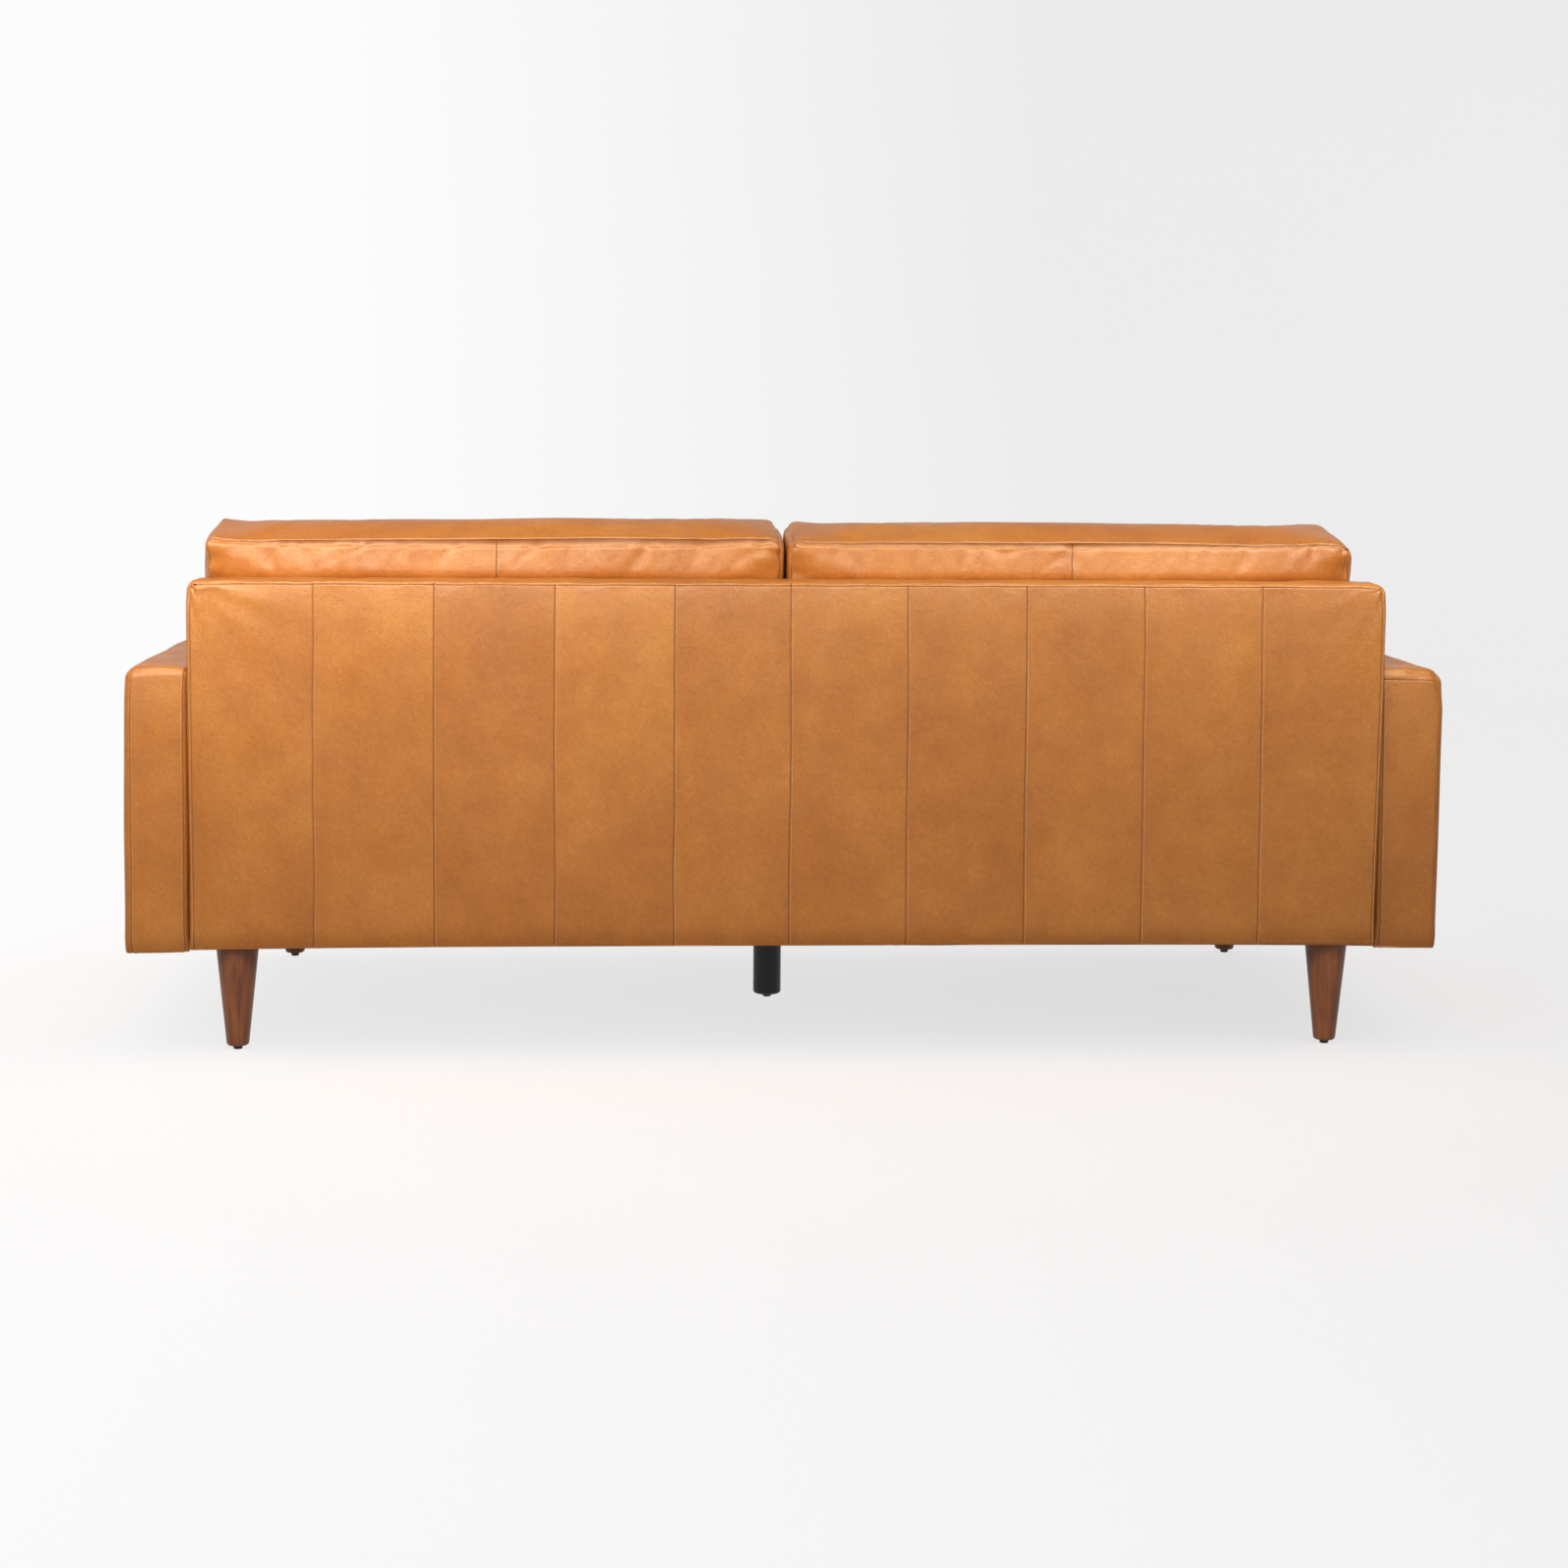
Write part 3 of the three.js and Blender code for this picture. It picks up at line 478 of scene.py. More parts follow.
class Shader:
    """A material's node tree with a Principled shader, built by short calls."""

    def __init__(self, name, **values):
        self.material = bpy.data.materials.new(name)
        self.material.use_nodes = True
        self.tree = self.material.node_tree
        self.principled = self.tree.nodes["Principled BSDF"]
        for socket, value in values.items():
            self.principled.inputs[socket.replace("_", " ")].default_value = value
        coordinates = self.tree.nodes.new("ShaderNodeTexCoord")
        self.place = coordinates.outputs["Object"]

    def node(self, kind, inputs=None, out=0, **settings):
        """Adds a node. Inputs are sockets to link or values to set. Returns one output."""
        node = self.tree.nodes.new("ShaderNode" + kind)
        for key, value in settings.items():
            setattr(node, key, value)
        for key, value in (inputs or {}).items():
            if isinstance(value, bpy.types.NodeSocket):
                self.tree.links.new(value, node.inputs[key])
            else:
                node.inputs[key].default_value = value
        return node.outputs[out]

    def math(self, operation, a, b=0.0):
        return self.node("Math", {0: a, 1: b}, operation=operation)

    def attribute(self, name):
        return self.node("Attribute", out="Fac", attribute_name=name)

    def noise(self, scale, detail=3.0, place=None, stretch=None, roughness=0.5):
        place = place or self.place
        if stretch:
            place = self.node("Mapping", {"Vector": place, "Scale": stretch})
        inputs = {"Vector": place, "Scale": scale, "Detail": detail, "Roughness": roughness}
        return self.node("TexNoise", inputs)

    def ramp(self, value, stops):
        """Colours at places from 0 to 1 along a value."""
        node = self.tree.nodes.new("ShaderNodeValToRGB")
        while len(node.color_ramp.elements) < len(stops):
            node.color_ramp.elements.new(0.5)
        for element, (place, colour) in zip(node.color_ramp.elements, stops):
            element.position = place
            element.color = (*colour, 1)
        self.tree.links.new(value, node.inputs["Fac"])
        return node.outputs["Color"]

    def tinted(self, colour, factor, tint):
        """A colour mixed with a plain tint. A Mix node's colour sockets are 6 and 7, and 2."""
        inputs = {0: factor, 6: colour, 7: (*tint, 1)}
        return self.node("Mix", inputs, out=2, data_type="RGBA")

    def span(self, value, low, high, new_low, new_high):
        inputs = {"Value": value, "From Min": low, "From Max": high}
        inputs.update({"To Min": new_low, "To Max": new_high})
        return self.node("MapRange", inputs)

    def bump(self, height, strength, distance, under=None):
        inputs = {"Height": height, "Strength": strength, "Distance": distance}
        if under:
            inputs["Normal"] = under
        return self.node("Bump", inputs)

    def link(self, value, socket):
        self.tree.links.new(value, self.principled.inputs[socket])

    def paint(self, value, *stops):
        """The surface's colour, from a value that mostly lies between 0.3 and 0.7."""
        self.link(self.ramp(value, stops), "Base Color")

    def roughen(self, value, low, high):
        """The surface's roughness, from a value that mostly lies between 0.3 and 0.7."""
        self.link(self.span(value, 0.3, 0.7, low, high), "Roughness")


LEATHER_DARK = (0.35, 0.093, 0.010)
LEATHER_MID = (0.49, 0.152, 0.018)
LEATHER_LIGHT = (0.62, 0.230, 0.034)
# The colour that the seams' grooves are darkened towards: painted shade.
SEAM_GROOVE_SHADE = (0.17, 0.045, 0.006)
SHEEN_TINT = (1.0, 0.88, 0.66, 1.0)


def leather():
    """Aniline-dyed leather: cloudy colour, fine pebbled grain, each cut panel a little different."""
    s = Shader("caramel_leather", Specular_IOR_Level=0.75, Specular_Tint=SHEEN_TINT)
    panel = s.attribute("panel")
    apart = s.math("MULTIPLY", panel, 7.3)
    place = s.node("VectorMath", {0: s.place, 1: s.node("CombineXYZ", {0: apart, 2: apart})})
    clouds = s.noise(3.2, 4.0, place, (1, 1, 0.6), 0.6)
    mottle = s.noise(17.0, 5.0, place, roughness=0.65)
    fleck = s.noise(170.0, 4.0, place, roughness=0.75)
    tone = s.math("ADD", s.math("MULTIPLY", clouds, 0.40), s.math("MULTIPLY", mottle, 0.28))
    tone = s.math("ADD", tone, s.math("MULTIPLY", fleck, 0.32))
    tone = s.math("ADD", tone, s.span(panel, 0, 1, -0.02, 0.02))
    colour = s.ramp(tone, [(0.32, LEATHER_DARK), (0.5, LEATHER_MID), (0.68, LEATHER_LIGHT)])
    # Painted shade: the colour darkens towards the groove colour with the depth in a seam.
    colour = s.tinted(colour, s.math("MULTIPLY", s.attribute("seam"), 0.85), SEAM_GROOVE_SHADE)
    s.link(colour, "Base Color")
    cells = s.node(
        "TexVoronoi", {"Vector": place, "Scale": 420.0, "Randomness": 1.0},
        out="Distance", feature="DISTANCE_TO_EDGE",
    )
    pebble = s.span(cells, 0.0, 0.16, 0.0, 1.0)
    pores = s.noise(1500.0, 2.0, place)
    grain = s.bump(pebble, 0.4, 0.15 * MM)
    grain = s.bump(pores, 0.25, 0.08 * MM, grain)
    grain = s.bump(s.noise(240.0, 3.0, place, roughness=0.6), 0.6, 0.4 * MM, grain)
    grain = s.bump(s.noise(60.0, 3.0, place, roughness=0.5), 0.6, 1.1 * MM, grain)
    s.link(grain, "Normal")
    worn = s.noise(11.0, 4.0, place)
    rough = s.math("ADD", s.span(worn, 0.3, 0.7, 0.40, 0.54), s.math("MULTIPLY", pebble, -0.05))
    s.link(s.math("ADD", rough, s.math("MULTIPLY", s.attribute("seam"), 0.2)), "Roughness")
    return s.material


def thread():
    """Waxed polyester thread, a little lighter than the leather, with its twist."""
    s = Shader("tan_thread", Roughness=0.55)
    shade = s.noise(60.0, 2.0)
    s.paint(shade, (0.3, (0.58, 0.28, 0.095)), (0.7, (0.72, 0.39, 0.16)))
    twist = s.node(
        "TexWave", {"Vector": s.place, "Scale": 900.0, "Distortion": 1.5},
        bands_direction="DIAGONAL",
    )
    s.link(s.bump(twist, 0.5, 0.1 * MM), "Normal")
    return s.material


def wood(name, dark, mid, light, roughness, scale=1.0, along=(1, 1, 0.07)):
    """Stained wood with its grain along one axis."""
    s = Shader(name, Coat_Weight=0.05, Coat_Roughness=0.3)
    streaks = s.noise(95.0 * scale, 6.0, stretch=along, roughness=0.62)
    figure = s.noise(26.0 * scale, 3.0, stretch=along)
    pores = s.noise(700.0 * scale, 2.0, stretch=along)
    tone = s.math("ADD", s.math("MULTIPLY", streaks, 0.6), s.math("MULTIPLY", figure, 0.4))
    colour = s.ramp(tone, [(0.36, dark), (0.5, mid), (0.66, light)])
    dimmed = s.math("MULTIPLY", s.span(pores, 0.55, 0.68, 0.0, 1.0), 0.45)
    s.link(s.tinted(colour, dimmed, dark), "Base Color")
    s.roughen(streaks, roughness - 0.06, roughness + 0.08)
    s.link(s.bump(pores, 0.3, 0.1 * MM, s.bump(streaks, 0.25, 0.2 * MM)), "Normal")
    return s.material


def cloth(name, dark, light, threads_per_m, roughness=0.9):
    """A plain weave of two thread directions, with slubs and faint dirt."""
    s = Shader(name)
    quarter = math.pi / 2
    turned = s.node("Mapping", {"Vector": s.place, "Rotation": (quarter, 0, quarter)})
    warp, weft = (
        s.node("TexWave", {"Vector": place, "Scale": threads_per_m / 6.3}, bands_direction="X")
        for place in (s.place, turned)
    )
    weave = s.math("MAXIMUM", warp, weft)
    slubs = s.noise(70.0, 4.0, roughness=0.7)
    tone = s.math("ADD", s.math("MULTIPLY", weave, 0.4), s.math("MULTIPLY", slubs, 0.6))
    s.paint(tone, (0.25, dark), (0.75, light))
    s.roughen(slubs, roughness - 0.06, min(roughness + 0.06, 1.0))
    s.link(s.bump(weave, 0.4, 0.15 * MM, s.bump(slubs, 0.3, 0.8 * MM)), "Normal")
    return s.material


def nylon():
    """Moulded black nylon, slightly scuffed."""
    s = Shader("black_nylon")
    scuffs = s.noise(220.0, 5.0, roughness=0.7)
    s.paint(scuffs, (0.4, (0.012, 0.012, 0.013)), (0.8, (0.04, 0.04, 0.042)))
    s.roughen(scuffs, 0.38, 0.6)
    s.link(s.bump(scuffs, 0.2, 0.1 * MM), "Normal")
    return s.material


def metal(name, dark, light, roughness):
    """Drawn wire and plate, with fine scratches."""
    s = Shader(name, Metallic=1.0)
    scratches = s.noise(300.0, 5.0, stretch=(1, 0.1, 1), roughness=0.7)
    s.paint(scratches, (0.35, dark), (0.7, light))
    s.roughen(scratches, roughness - 0.08, roughness + 0.12)
    s.link(s.bump(scratches, 0.15, 0.05 * MM), "Normal")
    return s.material


def foam():
    """Open-cell foam."""
    s = Shader("cushion_foam")
    cells = s.node("TexVoronoi", {"Vector": s.place, "Scale": 900.0}, out="Distance")
    tint = s.noise(9.0, 3.0)
    s.paint(tint, (0.3, (0.62, 0.5, 0.27)), (0.7, (0.78, 0.68, 0.42)))
    s.link(s.span(cells, 0.0, 1.0, 0.85, 1.0), "Roughness")
    s.link(s.bump(cells, 0.6, 0.5 * MM), "Normal")
    return s.material


MATERIALS = {
    "leather": leather(),
    "thread": thread(),
    "walnut": wood(
        "walnut", (0.16, 0.042, 0.012), (0.30, 0.086, 0.023), (0.45, 0.145, 0.042), 0.42
    ),
    "dark_wood": wood(
        "dark_stained_wood", (0.006, 0.004, 0.003), (0.014, 0.008, 0.006), (0.03, 0.017, 0.012), 0.4
    ),
    "hardwood": wood(
        "frame_hardwood", (0.33, 0.2, 0.09), (0.5, 0.33, 0.16), (0.62, 0.44, 0.24), 0.7, 0.5,
        (0.12, 0.12, 1),
    ),
    "foam": foam(),
    "deck_cloth": cloth("deck_cloth", (0.13, 0.07, 0.028), (0.30, 0.18, 0.085), 900.0),
    "dust_cloth": cloth("dust_cloth", (0.008, 0.008, 0.009), (0.03, 0.03, 0.033), 1400.0, 0.95),
    "glide_nylon": nylon(),
    "steel": metal("spring_steel", (0.33, 0.33, 0.35), (0.55, 0.55, 0.57), 0.34),
    "zip_tape": cloth("zip_tape", (0.12, 0.045, 0.014), (0.26, 0.11, 0.04), 2200.0),
    "zip_metal": metal("antique_brass", (0.22, 0.14, 0.05), (0.5, 0.36, 0.16), 0.32),
}


def dress_cad_nodes():
    """Every CAD node gets the finish of its material slot."""
    for row in frame["record"]["subparts"]:
        node = frame["nodes"][row["node"]]
        node.data.materials.clear()
        node.data.materials.append(MATERIALS[row["material_slot"]])


# ---- Finished pieces ----

BODY = {
    node: body
    for body, nodes in frame["record"]["behaviour"]["bodies"].items()
    for node in nodes
}


LEATHER_RETURN = 22 * MM  # how far the leather is turned in under a hem


def finish_piece(piece, node=None, body=None):
    """Hides the CAD node that a piece stands in for, if there is one, and attaches the piece to the body that it
    moves with.
    """
    if node:
        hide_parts(node)
    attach(piece, body or BODY[node])


def leather_piece(name, skin, seams, panel, node, dark_below=False):
    """A sewn leather skin and its stitches. `panel` gives each quad's cut panel, 0 to 1."""
    depth = sew(skin, seams)
    piece = mesh_object(name, skin.at, skin.quads, [MATERIALS["leather"], MATERIALS["dust_cloth"]])
    set_attribute(piece, "seam", depth)
    set_attribute(piece, "panel", panel, "FACE")
    if dark_below:
        centre = skin.centres()
        inside = np.abs(centre[:, Z] - skin.low[Z]) < SAME
        for axis in (X, Y):
            inside &= centre[:, axis] > skin.low[axis] + LEATHER_RETURN
            inside &= centre[:, axis] < skin.high[axis] - LEATHER_RETURN
        piece.data.polygons.foreach_set("material_index", inside.astype(np.int32))
    finish_piece(piece, node)
    stitches = stitch_mesh(name + "_stitches", skin, seams)
    finish_piece(stitches, body=BODY[node])
    return piece


def panel_tone(*keys):
    """A repeatable number from 0 to 1 for each cut panel."""
    total = sum(k * s for k, s in zip(keys, (12.9898, 78.233, 37.719)))
    return np.modf(np.abs(np.sin(total) * 43758.5453))[0]


# ---- Arms ----

COVER_SPACING = 9 * MM
ARM_EDGE = 13 * MM
BACK_EDGE = 10 * MM
HEM_EDGE = 4 * MM  # the edges' radius at the hem
HEM_FADE = 40 * MM  # where the edges have their full radius, above the hem
ARM_SEAM_IN = 9 * MM
ARM_SEAM_HOOK = 6 * MM
ARM_OUTER_SEAM = 12 * MM
ARM_TOP_CORNER = {"left": 20 * MM, "right": 30 * MM}
ARM_LEAN_OUT = {"left": -1 * MM, "right": 8 * MM}
ARM_TOP_CROWN = 2.5 * MM
ARM_REAR_JOIN = 17 * MM
ARM_HEM_IN = 3 * MM
ARM_SLACK = 0.9 * MM
ARM_INSET = 0.8 * MM
TOP_FALL = 7 * MM  # how far the upper edge falls away from the plane of the rear
TOP_FALL_REACH = 70 * MM
HEM_TUCK = 4 * MM  # how far the hem is pulled in under the frame
HEM_TUCK_REACH = 16 * MM
HEM_WAVE = 0.8 * MM
HEM_WAVE_LENGTH = 0.11
HEM_WAVE_REACH = 30 * MM


def add_arm(side, sign):
    """A slim padded arm: side panels sewn to a strip that runs over its front, top and rear."""
    node = f"{side}_arm_cover"
    low, high = corners(node)
    outer, inner = (high[X], low[X]) if sign > 0 else (low[X], high[X])
    outer_seam = outer - sign * ARM_OUTER_SEAM
    inner_seam = inner + sign * ARM_SEAM_IN
    seams = [
        Seam(X, inner_seam, stitches=(sign * STITCH_OFFSET,), depth=1.3 * MM,
             hook=-sign * ARM_SEAM_HOOK, top=high[Z]),
    ]
    z_seams = []
    if side == "left":
        seams.append(
            Seam(X, outer_seam, stitches=(-sign * FINE_OFFSET,), depth=0.9 * MM, puff=0.4 * MM)
        )
    else:
        join = high[Z] - ARM_REAR_JOIN
        rear_only = {Y: (high[Y], high[Y]), X: sorted((outer - sign * ARM_EDGE, inner_seam))}
        seams.append(Seam(Z, join, rear_only, stitches=(), depth=0.8 * MM, puff=0.3 * MM))
        z_seams.append(join)
    corner_radius = ARM_TOP_CORNER[side]
    skin = grid_skin(
        low, high,
        (COVER_SPACING, [outer_seam, inner_seam], ARM_EDGE),
        (COVER_SPACING, [], ARM_EDGE),
        (COVER_SPACING, z_seams, corner_radius),
    )
    flat = skin.flat
    above_hem = round_cover(skin, np.abs(flat[:, X] - outer), ARM_EDGE, corner_radius)
    share_out = np.clip((flat[:, X] - inner) / (outer - inner), 0, 1)
    height = (flat[:, Z] - low[Z]) / (high[Z] - low[Z])
    skin.swell(ARM_SLACK * waves(flat, 0.14, 31 + sign) - ARM_INSET)
    skin.at[:, X] += sign * share_out * ARM_LEAN_OUT[side] * height**1.5
    skin.at[:, X] -= sign * share_out * ARM_HEM_IN * (1 - above_hem) ** 2
    across = np.sin(math.pi * share_out) * (flat[:, Z] > high[Z] - SAME)
    skin.at[:, Z] += ARM_TOP_CROWN * across
    skin.at[:, Y] -= rear_fall(flat, low, high)
    skin.at[:, Z] += hem_waves(flat, low[Z], 41 + sign)
    centre = skin.centres()
    strip = (centre[:, X] - outer_seam) * (centre[:, X] - inner_seam) < 0
    tone = panel_tone(2.0 * strip + (centre[:, X] > 0), 1.0 * sign)
    leather_piece(f"{side}_arm_leather", skin, seams, tone, node, dark_below=True)


def round_cover(skin, from_end, edge, corner_radius):
    """Rounds a cover's edges, less at its hem and more at the upper corner of one end.

    `from_end` is how far each point is from that end. Returns how far above the hem each point
    is, from 0 to 1.
    """
    near_end = np.clip(1 - from_end / (2 * corner_radius), 0, 1)
    near_top = np.clip(1 - (skin.high[Z] - skin.flat[:, Z]) / (2 * corner_radius), 0, 1)
    above_hem = np.clip((skin.flat[:, Z] - skin.low[Z]) / HEM_FADE, 0, 1)
    corner = (near_end * near_top) ** 0.5
    radius = HEM_EDGE + (edge - HEM_EDGE) * above_hem
    skin.round_edges(radius * (1 - corner) + corner_radius * corner)
    return above_hem


def rear_fall(flat, low, high):
    """How far the upper edge and the hem fall away from the plane of the rear."""
    depth = high[Y] - flat[:, Y]
    at_top = np.exp(-(high[Z] - flat[:, Z]) / TOP_FALL_REACH)
    at_top *= np.clip(1 - depth / TOP_FALL_REACH, 0, 1)
    at_hem = bell(flat[:, Z] - low[Z], HEM_TUCK_REACH) * np.clip(1 - depth / BACK_EDGE, 0, 1)
    return TOP_FALL * at_top + HEM_TUCK * at_hem


def hem_waves(flat, hem_z, seed):
    """The lower edge of a cover isn't pulled quite straight."""
    along = flat * np.array([1.0, 1.0, 0.0])
    return HEM_WAVE * waves(along, HEM_WAVE_LENGTH, seed) * bell(flat[:, Z] - hem_z, HEM_WAVE_REACH)


# ---- The back ----

BACK_STRIPS = 10
BACK_ALONG_SPACING = 13 * MM
BACK_DEPTH_SPACING = 22 * MM
BACK_ROUND_LINES = 16 * MM
BACK_CORNER = 20 * MM
BACK_RIM_INSET = 7 * MM
BACK_FLARE = {1: 6 * MM, -1: 13 * MM}  # how far each end leans out over the arm at the top
FLARE_POWER = 9  # how closely the flare keeps to the ends
BACK_HEM_LIFT = 4 * MM
STRIP_SQUEEZE = {1: 5 * MM, -1: 3 * MM}  # the joins of each half sit this much nearer the middle
BACK_SLACK = 0.9 * MM
BACK_WRINKLE = 1.3 * MM
BACK_INSET = 1 * MM
BAND_LUMP = 0.8 * MM
BAND_LUMP_SIZE = 35 * MM
BAND_REACH = 12 * MM
HEM_LIFT_REACH = 60 * MM
FLARE_GAP = 1 * MM  # the flare starts this far behind the arm
FLARE_RISE = 6 * MM  # and this far above it
DECK_CLEARANCE = 3 * MM
BAND_TONE = 30.0  # the band's number among the cut panels
INSIDE_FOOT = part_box("seat_deck")[1].z + DECK_CLEARANCE
RECLINE = math.atan2(*[frame["joints"][1]["axis"][i] for i in (Y, Z)])


def add_back():
    """The back: ten strips sewn side by side outside, one leaning panel inside."""
    low, high = corners("back_cover")
    strip = (high[X] - low[X]) / BACK_STRIPS
    joins = [low[X] + strip * i for i in range(1, BACK_STRIPS)]
    joins = [x - STRIP_SQUEEZE[1] * (x > MM) + STRIP_SQUEEZE[-1] * (x < -MM) for x in joins]
    rear = high[Y]
    rim_z = high[Z] - BACK_RIM_INSET
    rear_only = {Y: (rear, rear), Z: (low[Z] - 1, rim_z)}
    seams = [Seam(X, x, rear_only, stitches=(-FINE_OFFSET,), puff=1.1 * MM) for x in joins]
    seams.append(
        Seam(Y, rear, rim=True, inset=BACK_RIM_INSET, open_below=True,
             stitches=(3.2 * MM,), depth=1.0 * MM, puff=0.8 * MM)
    )
    band_only = {Y: (rear, rear), Z: (rim_z, high[Z])}
    seams.append(Seam(X, joins[BACK_STRIPS // 2 - 1], band_only, stitches=(), puff=0.4 * MM))
    edges = [low[X] + BACK_RIM_INSET, high[X] - BACK_RIM_INSET]
    skin = grid_skin(
        low, high,
        (BACK_ALONG_SPACING, joins + edges, BACK_ROUND_LINES),
        (BACK_DEPTH_SPACING, [], BACK_EDGE),
        (COVER_SPACING, [rim_z, INSIDE_FOOT], BACK_ROUND_LINES),
    )
    flat = skin.flat
    round_cover(skin, high[X] - np.abs(flat[:, X]), BACK_EDGE, BACK_CORNER)
    lean_inside_face(skin, low, high)
    flare_ends(skin, low, high)
    wrinkles = corner_wrinkles(flat, np.array([high[X], rear, high[Z]]), 15, 0.4, (0.16, 0.05, 0.13))
    fainter = corner_wrinkles(flat, np.array([low[X], rear, high[Z]]), 13, 1.1, (0.12, 0.05, 0.10))
    wrinkles += 0.4 * fainter
    outside = np.abs(flat[:, Y] - rear) < SAME
    looseness = BACK_SLACK * waves(flat, 0.16, 7, stretch=(1, 1, 1.6))
    lumps = BAND_LUMP * waves(flat, BAND_LUMP_SIZE, 12) * bell(high[Z] - flat[:, Z], BAND_REACH)
    skin.swell(outside * (looseness + BACK_WRINKLE * wrinkles) + lumps - BACK_INSET)
    skin.at[:, Y] -= rear_fall(flat, low, high)
    lifted = BACK_HEM_LIFT * (1 - (flat[:, X] / high[X]) ** 4)
    at_hem = bell(flat[:, Z] - low[Z], HEM_LIFT_REACH)
    skin.at[:, Z] += hem_waves(flat, low[Z], 9) * outside + lifted * at_hem
    centre = skin.centres()
    number = np.searchsorted(joins, centre[:, X])
    in_strips = (np.abs(centre[:, Y] - rear) < SAME) & (centre[:, Z] < rim_z)
    tone = panel_tone(np.where(in_strips, number, BAND_TONE))
    leather_piece("back_leather", skin, seams, tone, "back_cover")


def flare_ends(skin, low, high):
    """The ends lean outwards above the arms, and so does the outside back behind them."""
    arm_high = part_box("left_arm_cover")[1]
    behind = np.clip((skin.at[:, Y] - arm_high.y - FLARE_GAP) / (3 * MM), 0, 1)
    above = np.clip((skin.at[:, Z] - arm_high.z - FLARE_RISE) / (12 * MM), 0, 1)
    clear = np.maximum(behind, above)
    height = np.clip((skin.at[:, Z] - low[Z]) / (high[Z] - low[Z]), 0, 1)
    share = skin.flat[:, X] / high[X]
    flare = np.where(share > 0, BACK_FLARE[1], BACK_FLARE[-1])
    skin.at[:, X] += flare * height * clear * np.sign(share) * np.abs(share) ** FLARE_POWER


def lean_inside_face(skin, low, high):
    """The box's front leans back as the CAD's does, and stops at the deck."""
    y, z = skin.at[:, Y], skin.at[:, Z]
    shell = high[Y] - BACK_EDGE
    front = BACK_PLANE_AT_FLOOR + z * math.tan(RECLINE)
    below_deck = np.clip((INSIDE_FOOT - z) / (1.5 * MM), 0, 1)
    front = front * (1 - below_deck) + (shell - 0.4 * MM) * below_deck
    share = np.clip((shell - y) / (shell - low[Y]), 0, 1)
    skin.at[:, Y] = np.where(y < shell, shell - share * (shell - front), y)


def extent(node, direction):
    """The lowest and highest value of a CAD node's points along a direction."""
    points = np.array([v.co for v in frame["nodes"][node].data.vertices])
    along = points @ np.array(direction)
    return along.min(), along.max()


LEAN_UP = np.array([0, math.sin(RECLINE), math.cos(RECLINE)])
LEAN_BACK = np.array([0, math.cos(RECLINE), -math.sin(RECLINE)])
BACK_GAP = 2 * MM  # from the back cushions to the inside back
CUSHION_REAR = extent("left_back_cushion_cover", LEAN_BACK)[1]
BACK_PLANE_AT_FLOOR = (CUSHION_REAR + BACK_GAP) / math.cos(RECLINE)  # the inside back's plane

# ---- Cushions ----

CUSHION_EDGE = 14 * MM
# How round each cushion's upright edges are, at its end nearer -X and at the one nearer +X.
CUSHION_CORNERS = {"left": (24 * MM, 13 * MM), "right": (34 * MM, 24 * MM)}
CUSHION_EARS = {"left": (0, 4.5 * MM), "right": (-2 * MM, 2 * MM)}  # peaks at the same ends
CUSHION_SPACING = 7 * MM
CLOTH_SPACING = 13 * MM
CLOTH_FRAMES = 10
CLOTH_PRESSURE = 4.0
CLOTH_CAP = 26 * MM
PUCKER_SIZE = 13 * MM
PUCKER_STRETCH = 3.5
PUCKER_REACH = 34 * MM
PUCKER_LIFT = 1.6 * MM
BOXING_CROWN = {"left": (11 * MM, 0.7), "right": (6 * MM, 1.0)}  # height, and lean towards -X
CROWN_WAVE, CROWN_WAVE_LENGTH = 1.5 * MM, 0.16
EAR_REACH = 16 * MM
EAR_DIP, EAR_DIP_PLACE, EAR_DIP_WIDTH = 0.6, 60 * MM, 35 * MM  # the hollow beside an ear
LOOSE_END = 90 * MM  # the leather is looser within about this far of an end
FOLD_DEPTH, FOLD_SIZE, FOLD_WIDTH = 1.9 * MM, 0.075, 0.16
DENT_DEPTH, DENT_SIZE = 1.4 * MM, 0.12
BOXING_SLACK = 0.35  # the share of the dents that the boxing shows
RIM_SEAM = {"rim": True, "puff": 0.0, "depth": 1.1 * MM}
SEAT_INSET = np.array([4, 3, 4]) * MM
SEAT_CROWN = 24 * MM
SEAT_REST, SEAT_REST_FADE = 30 * MM, 14 * MM  # where the crown gives way to the back cushion
BACK_CUSHION_INSET = 5 * MM
BACK_CUSHION_FOOT, BACK_CUSHION_TOP = 3 * MM, 1 * MM
BACK_OVERHANG = 14 * MM  # how far the padding may swell back above the sofa's back
OVERHANG_START, OVERHANG_FADE = 6 * MM, 5 * MM
CORE_SPACING = 22 * MM
CORE_INSET = 7 * MM
ZIP_DEPTH = 5 * MM
CHANNEL_HALF, CHANNEL_FADE, CHANNEL_END = 15 * MM, 5 * MM, 8 * MM
# How far each cushion's outer side stays clear of the arm plane.
OUTER_SIDE_GAP = {"left": 12 * MM, "right": 22 * MM}
PARTING = 6 * MM
END_BULGE = 9 * MM
END_BULGE_REACH = 12 * MM
INNER_BULGE = 1 * MM  # where the two cushions meet


